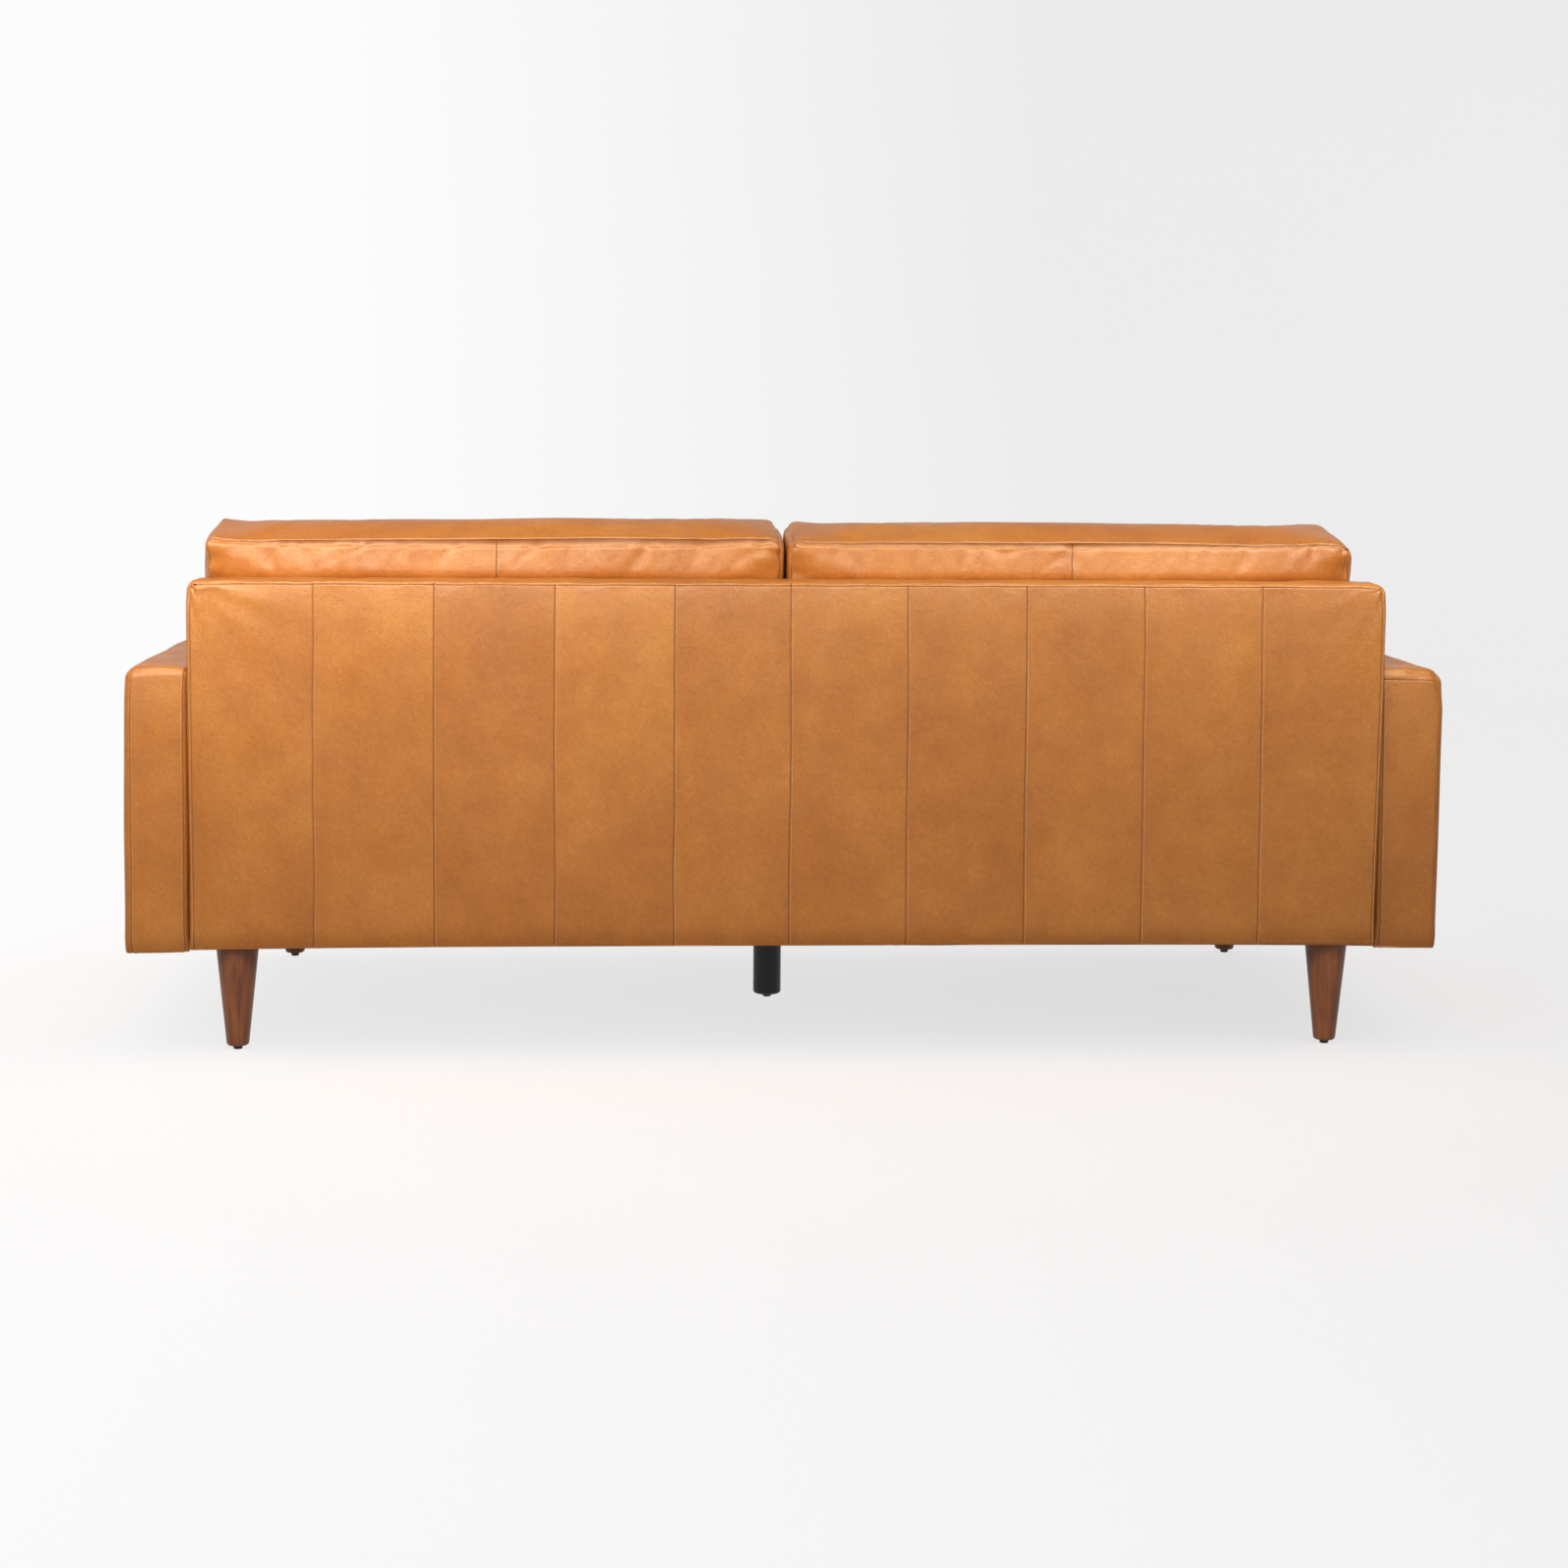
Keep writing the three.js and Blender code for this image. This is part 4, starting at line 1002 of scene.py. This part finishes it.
def inflate(skin):
    """How each point of a skin moves when it is simulated as cloth under pressure.

    The whole movement is scaled so that the point that moves most moves by the cap.
    """
    piece = mesh_object("cloth", skin.at, skin.quads, [])
    modifier = piece.modifiers.new("Cloth", "CLOTH")
    settings = modifier.settings
    settings.quality = 6
    settings.mass = 0.4
    settings.tension_stiffness = 40
    settings.compression_stiffness = 40
    settings.shear_stiffness = 15
    settings.bending_stiffness = 2
    settings.use_pressure = True
    settings.uniform_pressure_force = CLOTH_PRESSURE
    settings.effector_weights.gravity = 0
    modifier.point_cache.frame_end = CLOTH_FRAMES
    scene = bpy.context.scene
    for number in range(1, CLOTH_FRAMES + 1):
        scene.frame_set(number)
    evaluated = piece.evaluated_get(bpy.context.evaluated_depsgraph_get())
    points = np.zeros(len(skin.at) * 3)
    evaluated.data.vertices.foreach_get("co", points)
    scene.frame_set(1)
    bpy.data.objects.remove(piece)
    shift = points.reshape(-1, 3) - skin.at
    return shift * CLOTH_CAP / np.linalg.norm(shift, axis=1).max()


def even_skin(low, high, spacing):
    """A skin with evenly spaced lines."""
    return Skin([np.linspace(a, b, max(5, round((b - a) / spacing))) for a, b in zip(low, high)])


def make_cushion(name, side, low, high, middle_seams, face_axis, seed, shape):
    """The leather skin of a cushion and its foam core, both swollen by a cloth simulation.

    `middle_seams` lists the places, seen from the front, where its two faces are joined. `shape`
    bends and limits a skin, so that it leans and rests as the cushion does.
    """
    outline = [axis for axis in (X, Y, Z) if axis != face_axis]
    coarse = even_skin(low, high, CLOTH_SPACING)
    coarse.round_outline(outline, *CUSHION_CORNERS[side])
    coarse.round_edges(CUSHION_EDGE)
    shift = inflate(coarse)
    grids = [(CUSHION_SPACING, seams, CUSHION_EDGE) for seams in (middle_seams, [], [])]
    leather_skin = grid_skin(low, high, *grids)
    core = even_skin(low, high, CORE_SPACING)
    for skin in (leather_skin, core):
        skin.round_outline(outline, *CUSHION_CORNERS[side])
        skin.round_edges(CUSHION_EDGE)
        skin.take_shift(coarse, shift)
        fold_cushion(skin, side, seed, face_axis)
        shape(skin)
    core.swell(np.full(len(core.at), -CORE_INSET))
    piece = mesh_object(name + "_foam", core.at, core.quads, [MATERIALS["foam"]])
    finish_piece(piece, name + "_core")
    return leather_skin


def rise(value, width):
    """From 0 to 1 as a value passes nought, smoothly over a few widths."""
    return 1 / (1 + np.exp(-value / width))


def soft_limit(value, limit, softness=4 * MM):
    """Values held below a limit, with a rounded shoulder."""
    return limit - softness * np.logaddexp(0, (limit - value) / softness)


def hold_between(at, axis, low, high, softness=2 * MM):
    at[:, axis] = soft_limit(at[:, axis], high, softness)
    at[:, axis] = -soft_limit(-at[:, axis], -low, softness)


def sink_for_zip(skin, node, side, level):
    """A flat shallow channel that the zip lies in."""
    low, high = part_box(node)
    axis, end = side
    across = Z if axis == Y else Y
    ids = np.unique(skin.sides[side])
    at = skin.at[ids]
    aside = np.abs(at[:, across] - (low[across] + high[across]) / 2)
    beyond = np.abs(at[:, X] - (low.x + high.x) / 2) - (high.x - low.x) / 2
    in_channel = np.clip((CHANNEL_HALF - aside) / CHANNEL_FADE, 0, 1)
    in_channel *= np.clip(1 - beyond / CHANNEL_END, 0, 1)
    inwards = ZIP_DEPTH if end == 0 else -ZIP_DEPTH
    skin.at[ids, axis] = at[:, axis] * (1 - in_channel) + (level + inwards) * in_channel


def ends_across(side, low, high):
    """A back cushion's place across: its arm side stays inside the CAD's, and the parting
    between the two cushions is a little to the left of the middle."""
    gap = OUTER_SIDE_GAP[side]
    if side == "left":
        return low[X] + PARTING, high[X] - gap
    return low[X] + gap, high[X] + PARTING / 2


def add_seat_cushion(side, sign):
    """A crowned seat cushion, flat below, behind and where the back cushion stands on it."""
    name = f"{side}_seat_cushion"
    low, high = corners(name + "_cover")
    box_low, box_high = low + SEAT_INSET, high - SEAT_INSET
    foot_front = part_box(f"{side}_back_cushion_cover")[0].y

    def shape(skin):
        at = skin.at
        under_back = rise(at[:, Y] - foot_front - SEAT_REST, SEAT_REST_FADE)
        ceiling = high[Z] + SEAT_CROWN * (1 - under_back)
        at[:, Z] = soft_limit(at[:, Z], ceiling)
        at[:, Z] = -soft_limit(-at[:, Z], -low[Z])
        at[:, Y] = soft_limit(at[:, Y], high[Y], 2 * MM)
        hold_between(at, X, low[X], high[X])
        sink_for_zip(skin, name + "_zip", (Y, -1), high[Y])

    seams = [Seam(Z, box_high[Z], **RIM_SEAM), Seam(Z, box_low[Z], **RIM_SEAM)]
    seed = 100 + sign
    skin = make_cushion(name, side, box_low, box_high, [], Z, seed, shape)
    tone = cushion_tone(skin, seed)
    piece = leather_piece(name + "_leather", skin, seams, tone, name + "_cover")


def add_back_cushion(side, sign):
    """A back cushion that leans on the back, with a vertical join in its rear panel."""
    name = f"{side}_back_cushion"
    node = name + "_cover"
    low, high = corners(node)
    front, rear = extent(node, LEAN_BACK)
    foot, top = low[Z], extent(node, LEAN_UP)[1]
    mean_foot = (foot + (front + rear) / 2 * math.sin(RECLINE)) / math.cos(RECLINE)
    x0, x1 = ends_across(side, low, high)
    box_low = np.array([x0, front + BACK_CUSHION_INSET, mean_foot + BACK_CUSHION_FOOT])
    box_high = np.array([x1, rear - BACK_CUSHION_INSET, top + BACK_CUSHION_TOP])
    middle = (x0 + x1) / 2
    rear_face = box_high[Y]
    above_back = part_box("back_cover")[1].z + OVERHANG_START

    def shape(skin):
        lean(skin, box_high[Z], mean_foot, foot)
        at = skin.at
        at[:, Z] = -soft_limit(-at[:, Z], -foot, 3 * MM)
        depth = at @ LEAN_BACK
        free = rise(at[:, Z] - above_back, OVERHANG_FADE)
        held = soft_limit(depth, rear + BACK_OVERHANG * free, 3 * MM)
        skin.at = at + (held - depth)[:, None] * LEAN_BACK
        at_ends = (INNER_BULGE, END_BULGE) if side == "left" else (END_BULGE, INNER_BULGE)
        hold_between(skin.at, X, x0 - at_ends[0], x1 + at_ends[1], 1 * MM)
        sink_for_zip(skin, name + "_zip", (Z, 0), foot)

    stitches = (FINE_OFFSET, -FINE_OFFSET) if side == "right" else (STITCH_OFFSET,)
    seams = [
        Seam(Y, rear_face, stitches=stitches, **RIM_SEAM),
        Seam(Y, box_low[Y], stitches=stitches, **RIM_SEAM),
        Seam(X, middle, {Y: (rear_face, rear_face)}, stitches=(), depth=0.9 * MM, puff=1.3 * MM),
    ]
    seed = 200 + sign
    skin = make_cushion(name, side, box_low, box_high, [middle], Y, seed, shape)
    centre = skin.centres()
    tone = cushion_tone(skin, seed)
    half = (centre[:, X] > middle) & (centre[:, Y] > rear_face - SAME)
    tone = np.where(half, np.modf(tone + 0.37)[0], tone)
    piece = leather_piece(name + "_leather", skin, seams, tone, node)


def cushion_tone(skin, seed):
    """The tone of each quad's cut panel: two faces and four boxing strips."""
    centre = skin.centres()
    side = np.zeros(len(centre))
    for axis in (X, Y, Z):
        for number, level in ((1, skin.low[axis]), (2, skin.high[axis])):
            side = np.where(np.abs(centre[:, axis] - level) < SAME, number + 2 * axis, side)
    return panel_tone(side, np.full(len(side), seed * 0.1))


def lean(skin, top, mean_foot, foot):
    """Turns the upright box into the CAD's leaning one, whose foot is level."""
    x, depth, height = (skin.at[:, axis].copy() for axis in (X, Y, Z))
    foot_here = (foot + depth * math.sin(RECLINE)) / math.cos(RECLINE)
    height = top - (top - height) / (top - mean_foot) * (top - foot_here)
    skin.at = np.outer(depth, LEAN_BACK) + np.outer(height, LEAN_UP)
    skin.at[:, X] = x


def fold_cushion(skin, side, seed, face_axis):
    """Soft dents in the leather, puckers that run in from the seams, and a few creases."""
    flat = skin.flat
    on_face = np.ones(len(flat))
    puckers = np.zeros(len(flat))
    at_rim = np.zeros(len(flat))
    outline = [axis for axis in (X, Y, Z) if axis != face_axis]
    from_end = np.minimum(flat[:, X] - skin.low[X], skin.high[X] - flat[:, X])
    near_ends = np.exp(-from_end / LOOSE_END)
    for axis in outline:
        inset = np.minimum(flat[:, axis] - skin.low[axis], skin.high[axis] - flat[:, axis])
        stretch = np.ones(3)
        stretch[axis] = PUCKER_STRETCH
        strength = 0.5 + 0.6 * waves(flat, 0.2, seed + 11 + axis, 5) + 0.9 * near_ends
        ripples = waves(flat, PUCKER_SIZE, seed + axis, 14, stretch)
        fade = np.exp(-inset / PUCKER_REACH)
        puckers += ripples * fade * np.clip(strength, 0.1, 2)
        at_rim = np.maximum(at_rim, fade)
        on_face *= inset > SAME
    folds = creases(waves(flat, FOLD_SIZE, seed + 7, 9), FOLD_WIDTH) * (0.3 + at_rim)
    dents = waves(flat, DENT_SIZE, seed + 3, 9) * np.where(on_face, 1, BOXING_SLACK)
    skin.swell(on_face * (PUCKER_LIFT * puckers + FOLD_DEPTH * folds) + DENT_DEPTH * dents)
    height, lean_to_low = BOXING_CROWN[side]
    across = outline[1]
    along = np.clip((flat[:, X] - skin.low[X]) / (skin.high - skin.low)[X], 0, 1)
    crown = height * np.sin(math.pi * along**lean_to_low) ** 0.6
    ear = np.where(along > 0.5, CUSHION_EARS[side][1], CUSHION_EARS[side][0])
    dip = EAR_DIP * bell(from_end - EAR_DIP_PLACE, EAR_DIP_WIDTH)
    crown += ear * (np.exp(-from_end / EAR_REACH) - dip)
    crown += CROWN_WAVE * waves(flat * np.array([1, 0.3, 0]), CROWN_WAVE_LENGTH, seed + 21, 5)
    skin.at[:, across] += crown * (flat[:, across] > skin.high[across] - SAME)
    shares = [(flat[:, a] - skin.low[a]) / (skin.high - skin.low)[a] for a in (face_axis, across)]
    thick, tall = (np.sin(math.pi * np.clip(share, 0, 1)) for share in shares)
    bulge = END_BULGE * thick**0.7 * tall**0.4 * np.exp(-from_end / END_BULGE_REACH)
    skin.at[:, X] += bulge * np.where(along > 0.5, 1, -1)


# ---- Zips ----

TOOTH_PITCH = 2.8 * MM
TOOTH = np.array([1.5, 3.4, 1.1]) * MM
TAPE_THICKNESS = 0.7 * MM
TAPE_EDGE = 0.3 * MM
ZIP_MARGIN = 4 * MM
TOOTH_ASIDE = 0.9 * MM
TOOTH_SINK = 0.1 * MM
SLIDER_WIDTH, SLIDER_ROUND = 8 * MM, 1.0 * MM
TAB_LENGTH, TAB_ROUND = 5 * MM, 0.45 * MM


def add_zip(name, face_axis, outwards):
    """A zip in its channel: tape, two rows of teeth that mesh, and a slider with a tab."""
    low, high = corners(name + "_zip")
    across = Z if face_axis == Y else Y
    level = high[face_axis] if outwards > 0 else low[face_axis]
    tape_low, tape_high = low.copy(), high.copy()
    tape_low[face_axis], tape_high[face_axis] = sorted((level, level - outwards * TAPE_THICKNESS))
    tape = even_skin(tape_low, tape_high, 9 * MM)
    tape.round_edges(TAPE_EDGE)
    piece = mesh_object(name + "_zip_tape", tape.at, tape.quads, [MATERIALS["zip_tape"]])
    finish_piece(piece, name + "_zip")
    block = np.array([(a, b, c) for a in (-0.5, 0.5) for b in (-0.5, 0.5) for c in (-0.5, 0.5)])
    order = [X, across, face_axis]
    box_faces = [(0, 1, 3, 2), (4, 6, 7, 5), (0, 4, 5, 1), (2, 3, 7, 6), (0, 2, 6, 4), (1, 5, 7, 3)]
    if np.linalg.det(np.eye(3)[order]) < 0:
        box_faces = [face[::-1] for face in box_faces]
    points, faces = [], []
    middle = (low[across] + high[across]) / 2
    count = int((high[X] - low[X] - 2 * ZIP_MARGIN) / TOOTH_PITCH)
    for i in range(2 * count):
        tooth = np.zeros((8, 3))
        tooth[:, order] = block * TOOTH
        tooth[:, X] += low[X] + ZIP_MARGIN + (i + 0.5) * TOOTH_PITCH / 2
        tooth[:, across] += middle + (TOOTH_ASIDE if i % 2 else -TOOTH_ASIDE)
        tooth[:, face_axis] += level + outwards * (TOOTH[2] / 2 - TOOTH_SINK)
        faces += [[8 * i + k for k in face] for face in box_faces]
        points.append(tooth)
    teeth = mesh_object(
        name + "_zip_teeth", np.concatenate(points), faces, [MATERIALS["zip_metal"]], smooth=False
    )
    finish_piece(teeth, body=BODY[name + "_zip"])
    add_slider(name, face_axis, across, outwards)


def add_slider(name, face_axis, across, outwards):
    """The slider's rounded body, and the tab that lies across it.

    A shape is its length, its width, the shares of the height where it starts and ends, and the
    radius of its edges.
    """
    low, high = corners(name + "_zip_pull")
    inner, outer = (low, high) if outwards > 0 else (high, low)
    thickness = abs(outer[face_axis] - inner[face_axis])
    centre = (low + high) / 2
    points, faces = [], []
    shapes = (
        (high[X] - low[X], SLIDER_WIDTH, 0.0, 0.62, SLIDER_ROUND),
        (TAB_LENGTH, high[across] - low[across], 0.66, 1.0, TAB_ROUND),
    )
    for length, width, bottom, top, radius in shapes:
        box_low, box_high = centre.copy(), centre.copy()
        for axis, size in ((X, length), (across, width)):
            box_low[axis] -= size / 2
            box_high[axis] += size / 2
        ends = [inner[face_axis] + outwards * thickness * share for share in (bottom, top)]
        box_low[face_axis], box_high[face_axis] = sorted(ends)
        part = even_skin(box_low, box_high, 0.9 * MM)
        part.round_edges(min(radius, (box_high - box_low).min() / 2))
        faces.append(part.quads + sum(len(p) for p in points))
        points.append(part.at)
    piece = mesh_object(
        name + "_zip_slider", np.concatenate(points), np.concatenate(faces),
        [MATERIALS["zip_metal"]],
    )
    finish_piece(piece, name + "_zip_pull")


# ---- The rest of the upholstery ----


BORDER_ROUND = 4 * MM
BORDER_SLACK = 0.8 * MM
BORDER_SEAM_INSET = 9 * MM
BORDER_TONE = 0.4
DECK_ROUND = 4 * MM
DECK_TUFT_DEPTH, DECK_TUFT_WIDTH = 2 * MM, 12 * MM
DECK_SLACK, DECK_INSET = 0.5 * MM, 0.7 * MM


def add_front_border():
    """The leather panel under the seat cushions."""
    low, high = corners("front_border")
    high[Y] += 1 * MM
    skin = grid_skin(low, high, (12 * MM, [], 4 * MM), (4 * MM,), (8 * MM, [], 6 * MM))
    flat = skin.flat
    skin.round_edges(BORDER_ROUND)
    outside = flat[:, Y] < low[Y] + SAME
    skin.swell(BORDER_SLACK * (waves(flat, 0.15, 17) * outside - 1))
    skin.at[:, Z] += hem_waves(flat, low[Z], 19)
    seams = [
        Seam(Y, low[Y], rim=True, inset=BORDER_SEAM_INSET, open_below=True, depth=0.8 * MM)
    ]
    tone = np.full(len(skin.quads), BORDER_TONE)
    leather_piece("front_border_leather", skin, seams, tone, "front_border")


def add_deck():
    """The padded cloth under the seat cushions, tufted down slightly along the middle."""
    low, high = corners("seat_deck")
    skin = grid_skin(low, high, (20 * MM, [], 6 * MM), (20 * MM, [], 6 * MM), (3 * MM,))
    skin.round_edges(DECK_ROUND)
    on_top = skin.flat[:, Z] > high[Z] - SAME
    sunk = DECK_INSET + DECK_TUFT_DEPTH * bell(skin.flat[:, X], DECK_TUFT_WIDTH)
    skin.swell(on_top * (DECK_SLACK * waves(skin.flat, 0.2, 23) - sunk))
    piece = mesh_object("seat_deck_cloth", skin.at, skin.quads, [MATERIALS["deck_cloth"]])
    finish_piece(piece, "seat_deck")


# ---- Legs ----

LEG_SEGMENTS = 72
GLIDE_HEIGHT = 6 * MM
GLIDE_ROUND = 1.2 * MM
GLIDE_BEVEL = 1 * MM
STEM_RADIUS = 3 * MM
LEG_RINGS = 24
ROUND_FOOT = 5 * MM
LEG_TOP_BEVEL = 1 * MM
FOOT_TO_TOP = 18.6 / 35.5  # a tapered leg's radius at the foot to the one at the top


def turned_piece(name, profile, x, y, slot, node):
    """A solid turned about a vertical axis, from (radius, z) points that start and end on it."""
    angles = 2 * math.pi * np.arange(LEG_SEGMENTS) / LEG_SEGMENTS
    points = [(x, y, profile[0][1])]
    for radius, z in profile[1:-1]:
        points += [(x + radius * math.cos(a), y + radius * math.sin(a), z) for a in angles]
    points.append((x, y, profile[-1][1]))
    last = len(points) - 1
    faces = []
    for i in range(LEG_SEGMENTS):
        j = (i + 1) % LEG_SEGMENTS
        faces.append((0, 1 + j, 1 + i))
        for ring in range(len(profile) - 3):
            a, b = 1 + ring * LEG_SEGMENTS + i, 1 + ring * LEG_SEGMENTS + j
            faces.append((a, b, b + LEG_SEGMENTS, a + LEG_SEGMENTS))
        top = 1 + (len(profile) - 3) * LEG_SEGMENTS
        faces.append((top + i, top + j, last))
    piece = mesh_object(name, points, faces, [MATERIALS[slot]])
    finish_piece(piece, node)


def arc_profile(r0, z0, r1, z1, steps=6):
    """Points on a quarter round from (r0, z0) to (r1, z1), leaving along the radius."""
    return [
        (r0 + (r1 - r0) * math.sin(t), z0 + (z1 - z0) * (1 - math.cos(t)))
        for t in np.linspace(0, math.pi / 2, steps)
    ]


def add_leg(name, straight, slot):
    """A leg turned smooth, tapered or straight, with a rounded foot and its glide."""
    node = f"{name}_leg"
    low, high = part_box(node)
    x, y = (low.x + high.x) / 2, (low.y + high.y) / 2
    top_radius = (high.x - low.x) / 2
    foot_radius = top_radius if straight else top_radius * FOOT_TO_TOP
    profile = [(0, low.z)]
    profile += arc_profile(foot_radius - ROUND_FOOT, low.z, foot_radius, low.z + ROUND_FOOT)
    taper = high.z - low.z - ROUND_FOOT - LEG_TOP_BEVEL
    for t in np.linspace(0, 1, LEG_RINGS)[1:-1]:
        radius = foot_radius + (top_radius - foot_radius) * t
        profile.append((radius, low.z + ROUND_FOOT + t * taper))
    profile += [(top_radius - LEG_TOP_BEVEL / 2, high.z), (0, high.z)]
    turned_piece(node + "_turned", profile, x, y, slot, node)
    add_glide(name, x, y)


def add_glide(name, x, y):
    """A moulded glide: a rounded foot pad, and the stem that is pressed into the leg."""
    node = f"{name}_glide"
    low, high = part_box(node)
    radius = (high.x - low.x) / 2
    pad_top = low.z + GLIDE_HEIGHT
    profile = [(0, low.z)]
    profile += arc_profile(radius - GLIDE_ROUND, low.z, radius, low.z + GLIDE_ROUND)
    profile += [(radius, pad_top - GLIDE_BEVEL), (radius - GLIDE_BEVEL, pad_top)]
    profile += [(STEM_RADIUS, pad_top), (STEM_RADIUS, high.z), (0, high.z)]
    turned_piece(node + "_moulded", profile, x, y, "glide_nylon", node)


# ---- The studio ----

FLOOR_ALBEDO = 0.8
FLOOR_GLOW = 0.72
GLOW_DRIFT = 0.07  # painted light: the floor glows a little brighter on the sitter's left, the side of the key light
GLOW_IN_SHEEN = 0.75  # how much of the glow the leather mirrors
WORLD_LIGHT = 0.25  # how bright the surroundings are as a light
WORLD_SEEN = 0.9  # and behind the sofa, where the sweep doesn't reach
SWEEP_START = -5.0
SWEEP_RADIUS = 3.0
SWEEP_REACH = 9.0  # how far it comes forward, and how high it goes
SWEEP_HALF_WIDTH = 14.0
# Each softbox: its place, what it aims at, its size, its power and its colour.
SOFTBOXES = {
    "key": ((1.08, 1.20, 1.42), (0.8, 0.45, 0.78), (2.0, 0.6), 27, (1, 0.99, 0.96)),
    "side": ((-0.95, 1.06, 1.52), (-0.8, 0.45, 0.93), (0.9, 0.5), 13.5, (0.93, 0.97, 1)),
    "haze": ((0, 6.5, 4.2), (0, 0.45, 0.7), (7, 3), 420, (1, 1, 1)),
    "front": ((0.4, -3.2, 1.3), (0, -0.2, 0.55), (4, 1.6), 75, (1, 1, 1)),
}


def add_stage():
    """A pale floor that sweeps up into a backdrop far behind the sofa.

    It glows a little, as an overexposed paper sweep does. The glow shows directly and as sheen
    on the sofa, but doesn't light it.
    """
    s = Shader("studio_floor", Roughness=1.0)
    s.principled.inputs["Specular IOR Level"].default_value = 0.0
    looked_at = s.node("LightPath", out="Is Camera Ray")
    mirrored = s.node("LightPath", out="Is Glossy Ray")
    mirrored = s.math("MULTIPLY", mirrored, GLOW_IN_SHEEN)
    s.link(s.math("MAXIMUM", looked_at, mirrored), "Emission Strength")
    grey = s.noise(0.6, 2.0)
    s.paint(grey, (0.3, (FLOOR_ALBEDO - 0.01,) * 3), (0.7, (FLOOR_ALBEDO + 0.01,) * 3))
    across = s.node("SeparateXYZ", {0: s.place})
    # Painted light: the glow rises towards the sitter's left, standing in for the key light, which is kept off the
    # floor.
    glow = [FLOOR_GLOW - GLOW_DRIFT, FLOOR_GLOW + GLOW_DRIFT]
    s.link(s.span(across, -1.6, 1.6, *glow), "Emission Color")
    floor_line = [(SWEEP_REACH, 0.0), (SWEEP_START, 0.0)]
    for angle in np.linspace(0.1, math.pi / 2, 14):
        y = SWEEP_START - SWEEP_RADIUS * math.sin(angle)
        floor_line.append((y, SWEEP_RADIUS * (1 - math.cos(angle))))
    floor_line.append((SWEEP_START - SWEEP_RADIUS, SWEEP_REACH))
    points = [(x, y, z) for y, z in floor_line for x in (-SWEEP_HALF_WIDTH, SWEEP_HALF_WIDTH)]
    faces = [(2 * i, 2 * i + 1, 2 * i + 3, 2 * i + 2) for i in range(len(floor_line) - 1)]
    floor = mesh_object("studio_floor", points, faces, [s.material])
    return floor


def add_softbox(name, place, target, size, power, colour, not_on):
    """A rectangular light that leaves the floor alone, so that the floor stays even."""
    data = bpy.data.lights.new(name, "AREA")
    data.shape = "RECTANGLE"
    data.size, data.size_y = size
    data.energy = power
    data.color = colour
    light = bpy.data.objects.new(name, data)
    light.location = place
    aim = Vector(target) - Vector(place)
    light.rotation_euler = aim.to_track_quat("-Z", "Y").to_euler()
    bpy.context.scene.collection.objects.link(light)
    light.visible_camera = False
    light.light_linking.receiver_collection = not_on
    return light


def add_lights(floor):
    """White surroundings, a key light from the sitter's left and a weak cool one opposite.

    A wide panel behind the camera gives the leather its haze, and a fill lights the front.
    """
    world = bpy.data.worlds.new("studio")
    world.use_nodes = True
    nodes, links = world.node_tree.nodes, world.node_tree.links
    looked_at = nodes.new("ShaderNodeLightPath").outputs["Is Camera Ray"]
    strength = nodes.new("ShaderNodeMapRange")
    strength.inputs["To Min"].default_value = WORLD_LIGHT
    strength.inputs["To Max"].default_value = WORLD_SEEN
    links.new(looked_at, strength.inputs["Value"])
    links.new(strength.outputs["Result"], nodes["Background"].inputs["Strength"])
    nodes["Background"].inputs["Color"].default_value = (1, 1, 1, 1)
    bpy.context.scene.world = world
    not_on = bpy.data.collections.new("not_on_floor")
    not_on.objects.link(floor)
    not_on.collection_objects[0].light_linking.link_state = "EXCLUDE"
    lights = {name: add_softbox(name, *box, not_on) for name, box in SOFTBOXES.items()}
    lights["haze"].visible_diffuse = False
    lights["front"].visible_glossy = False
    bpy.context.scene.view_settings.view_transform = "Standard"


# ---- Making it all ----

add_camera()
dress_cad_nodes()
for side, sign in SIDES.items():
    add_arm(side, sign)
    add_seat_cushion(side, sign)
    add_back_cushion(side, sign)
    add_zip(f"{side}_seat_cushion", Y, 1)
    add_zip(f"{side}_back_cushion", Z, -1)
    for end in ("front", "rear"):
        add_leg(f"{end}_{side}", False, "walnut")
add_leg("middle_support", True, "dark_wood")
add_back()
add_front_border()
add_deck()
add_lights(add_stage())
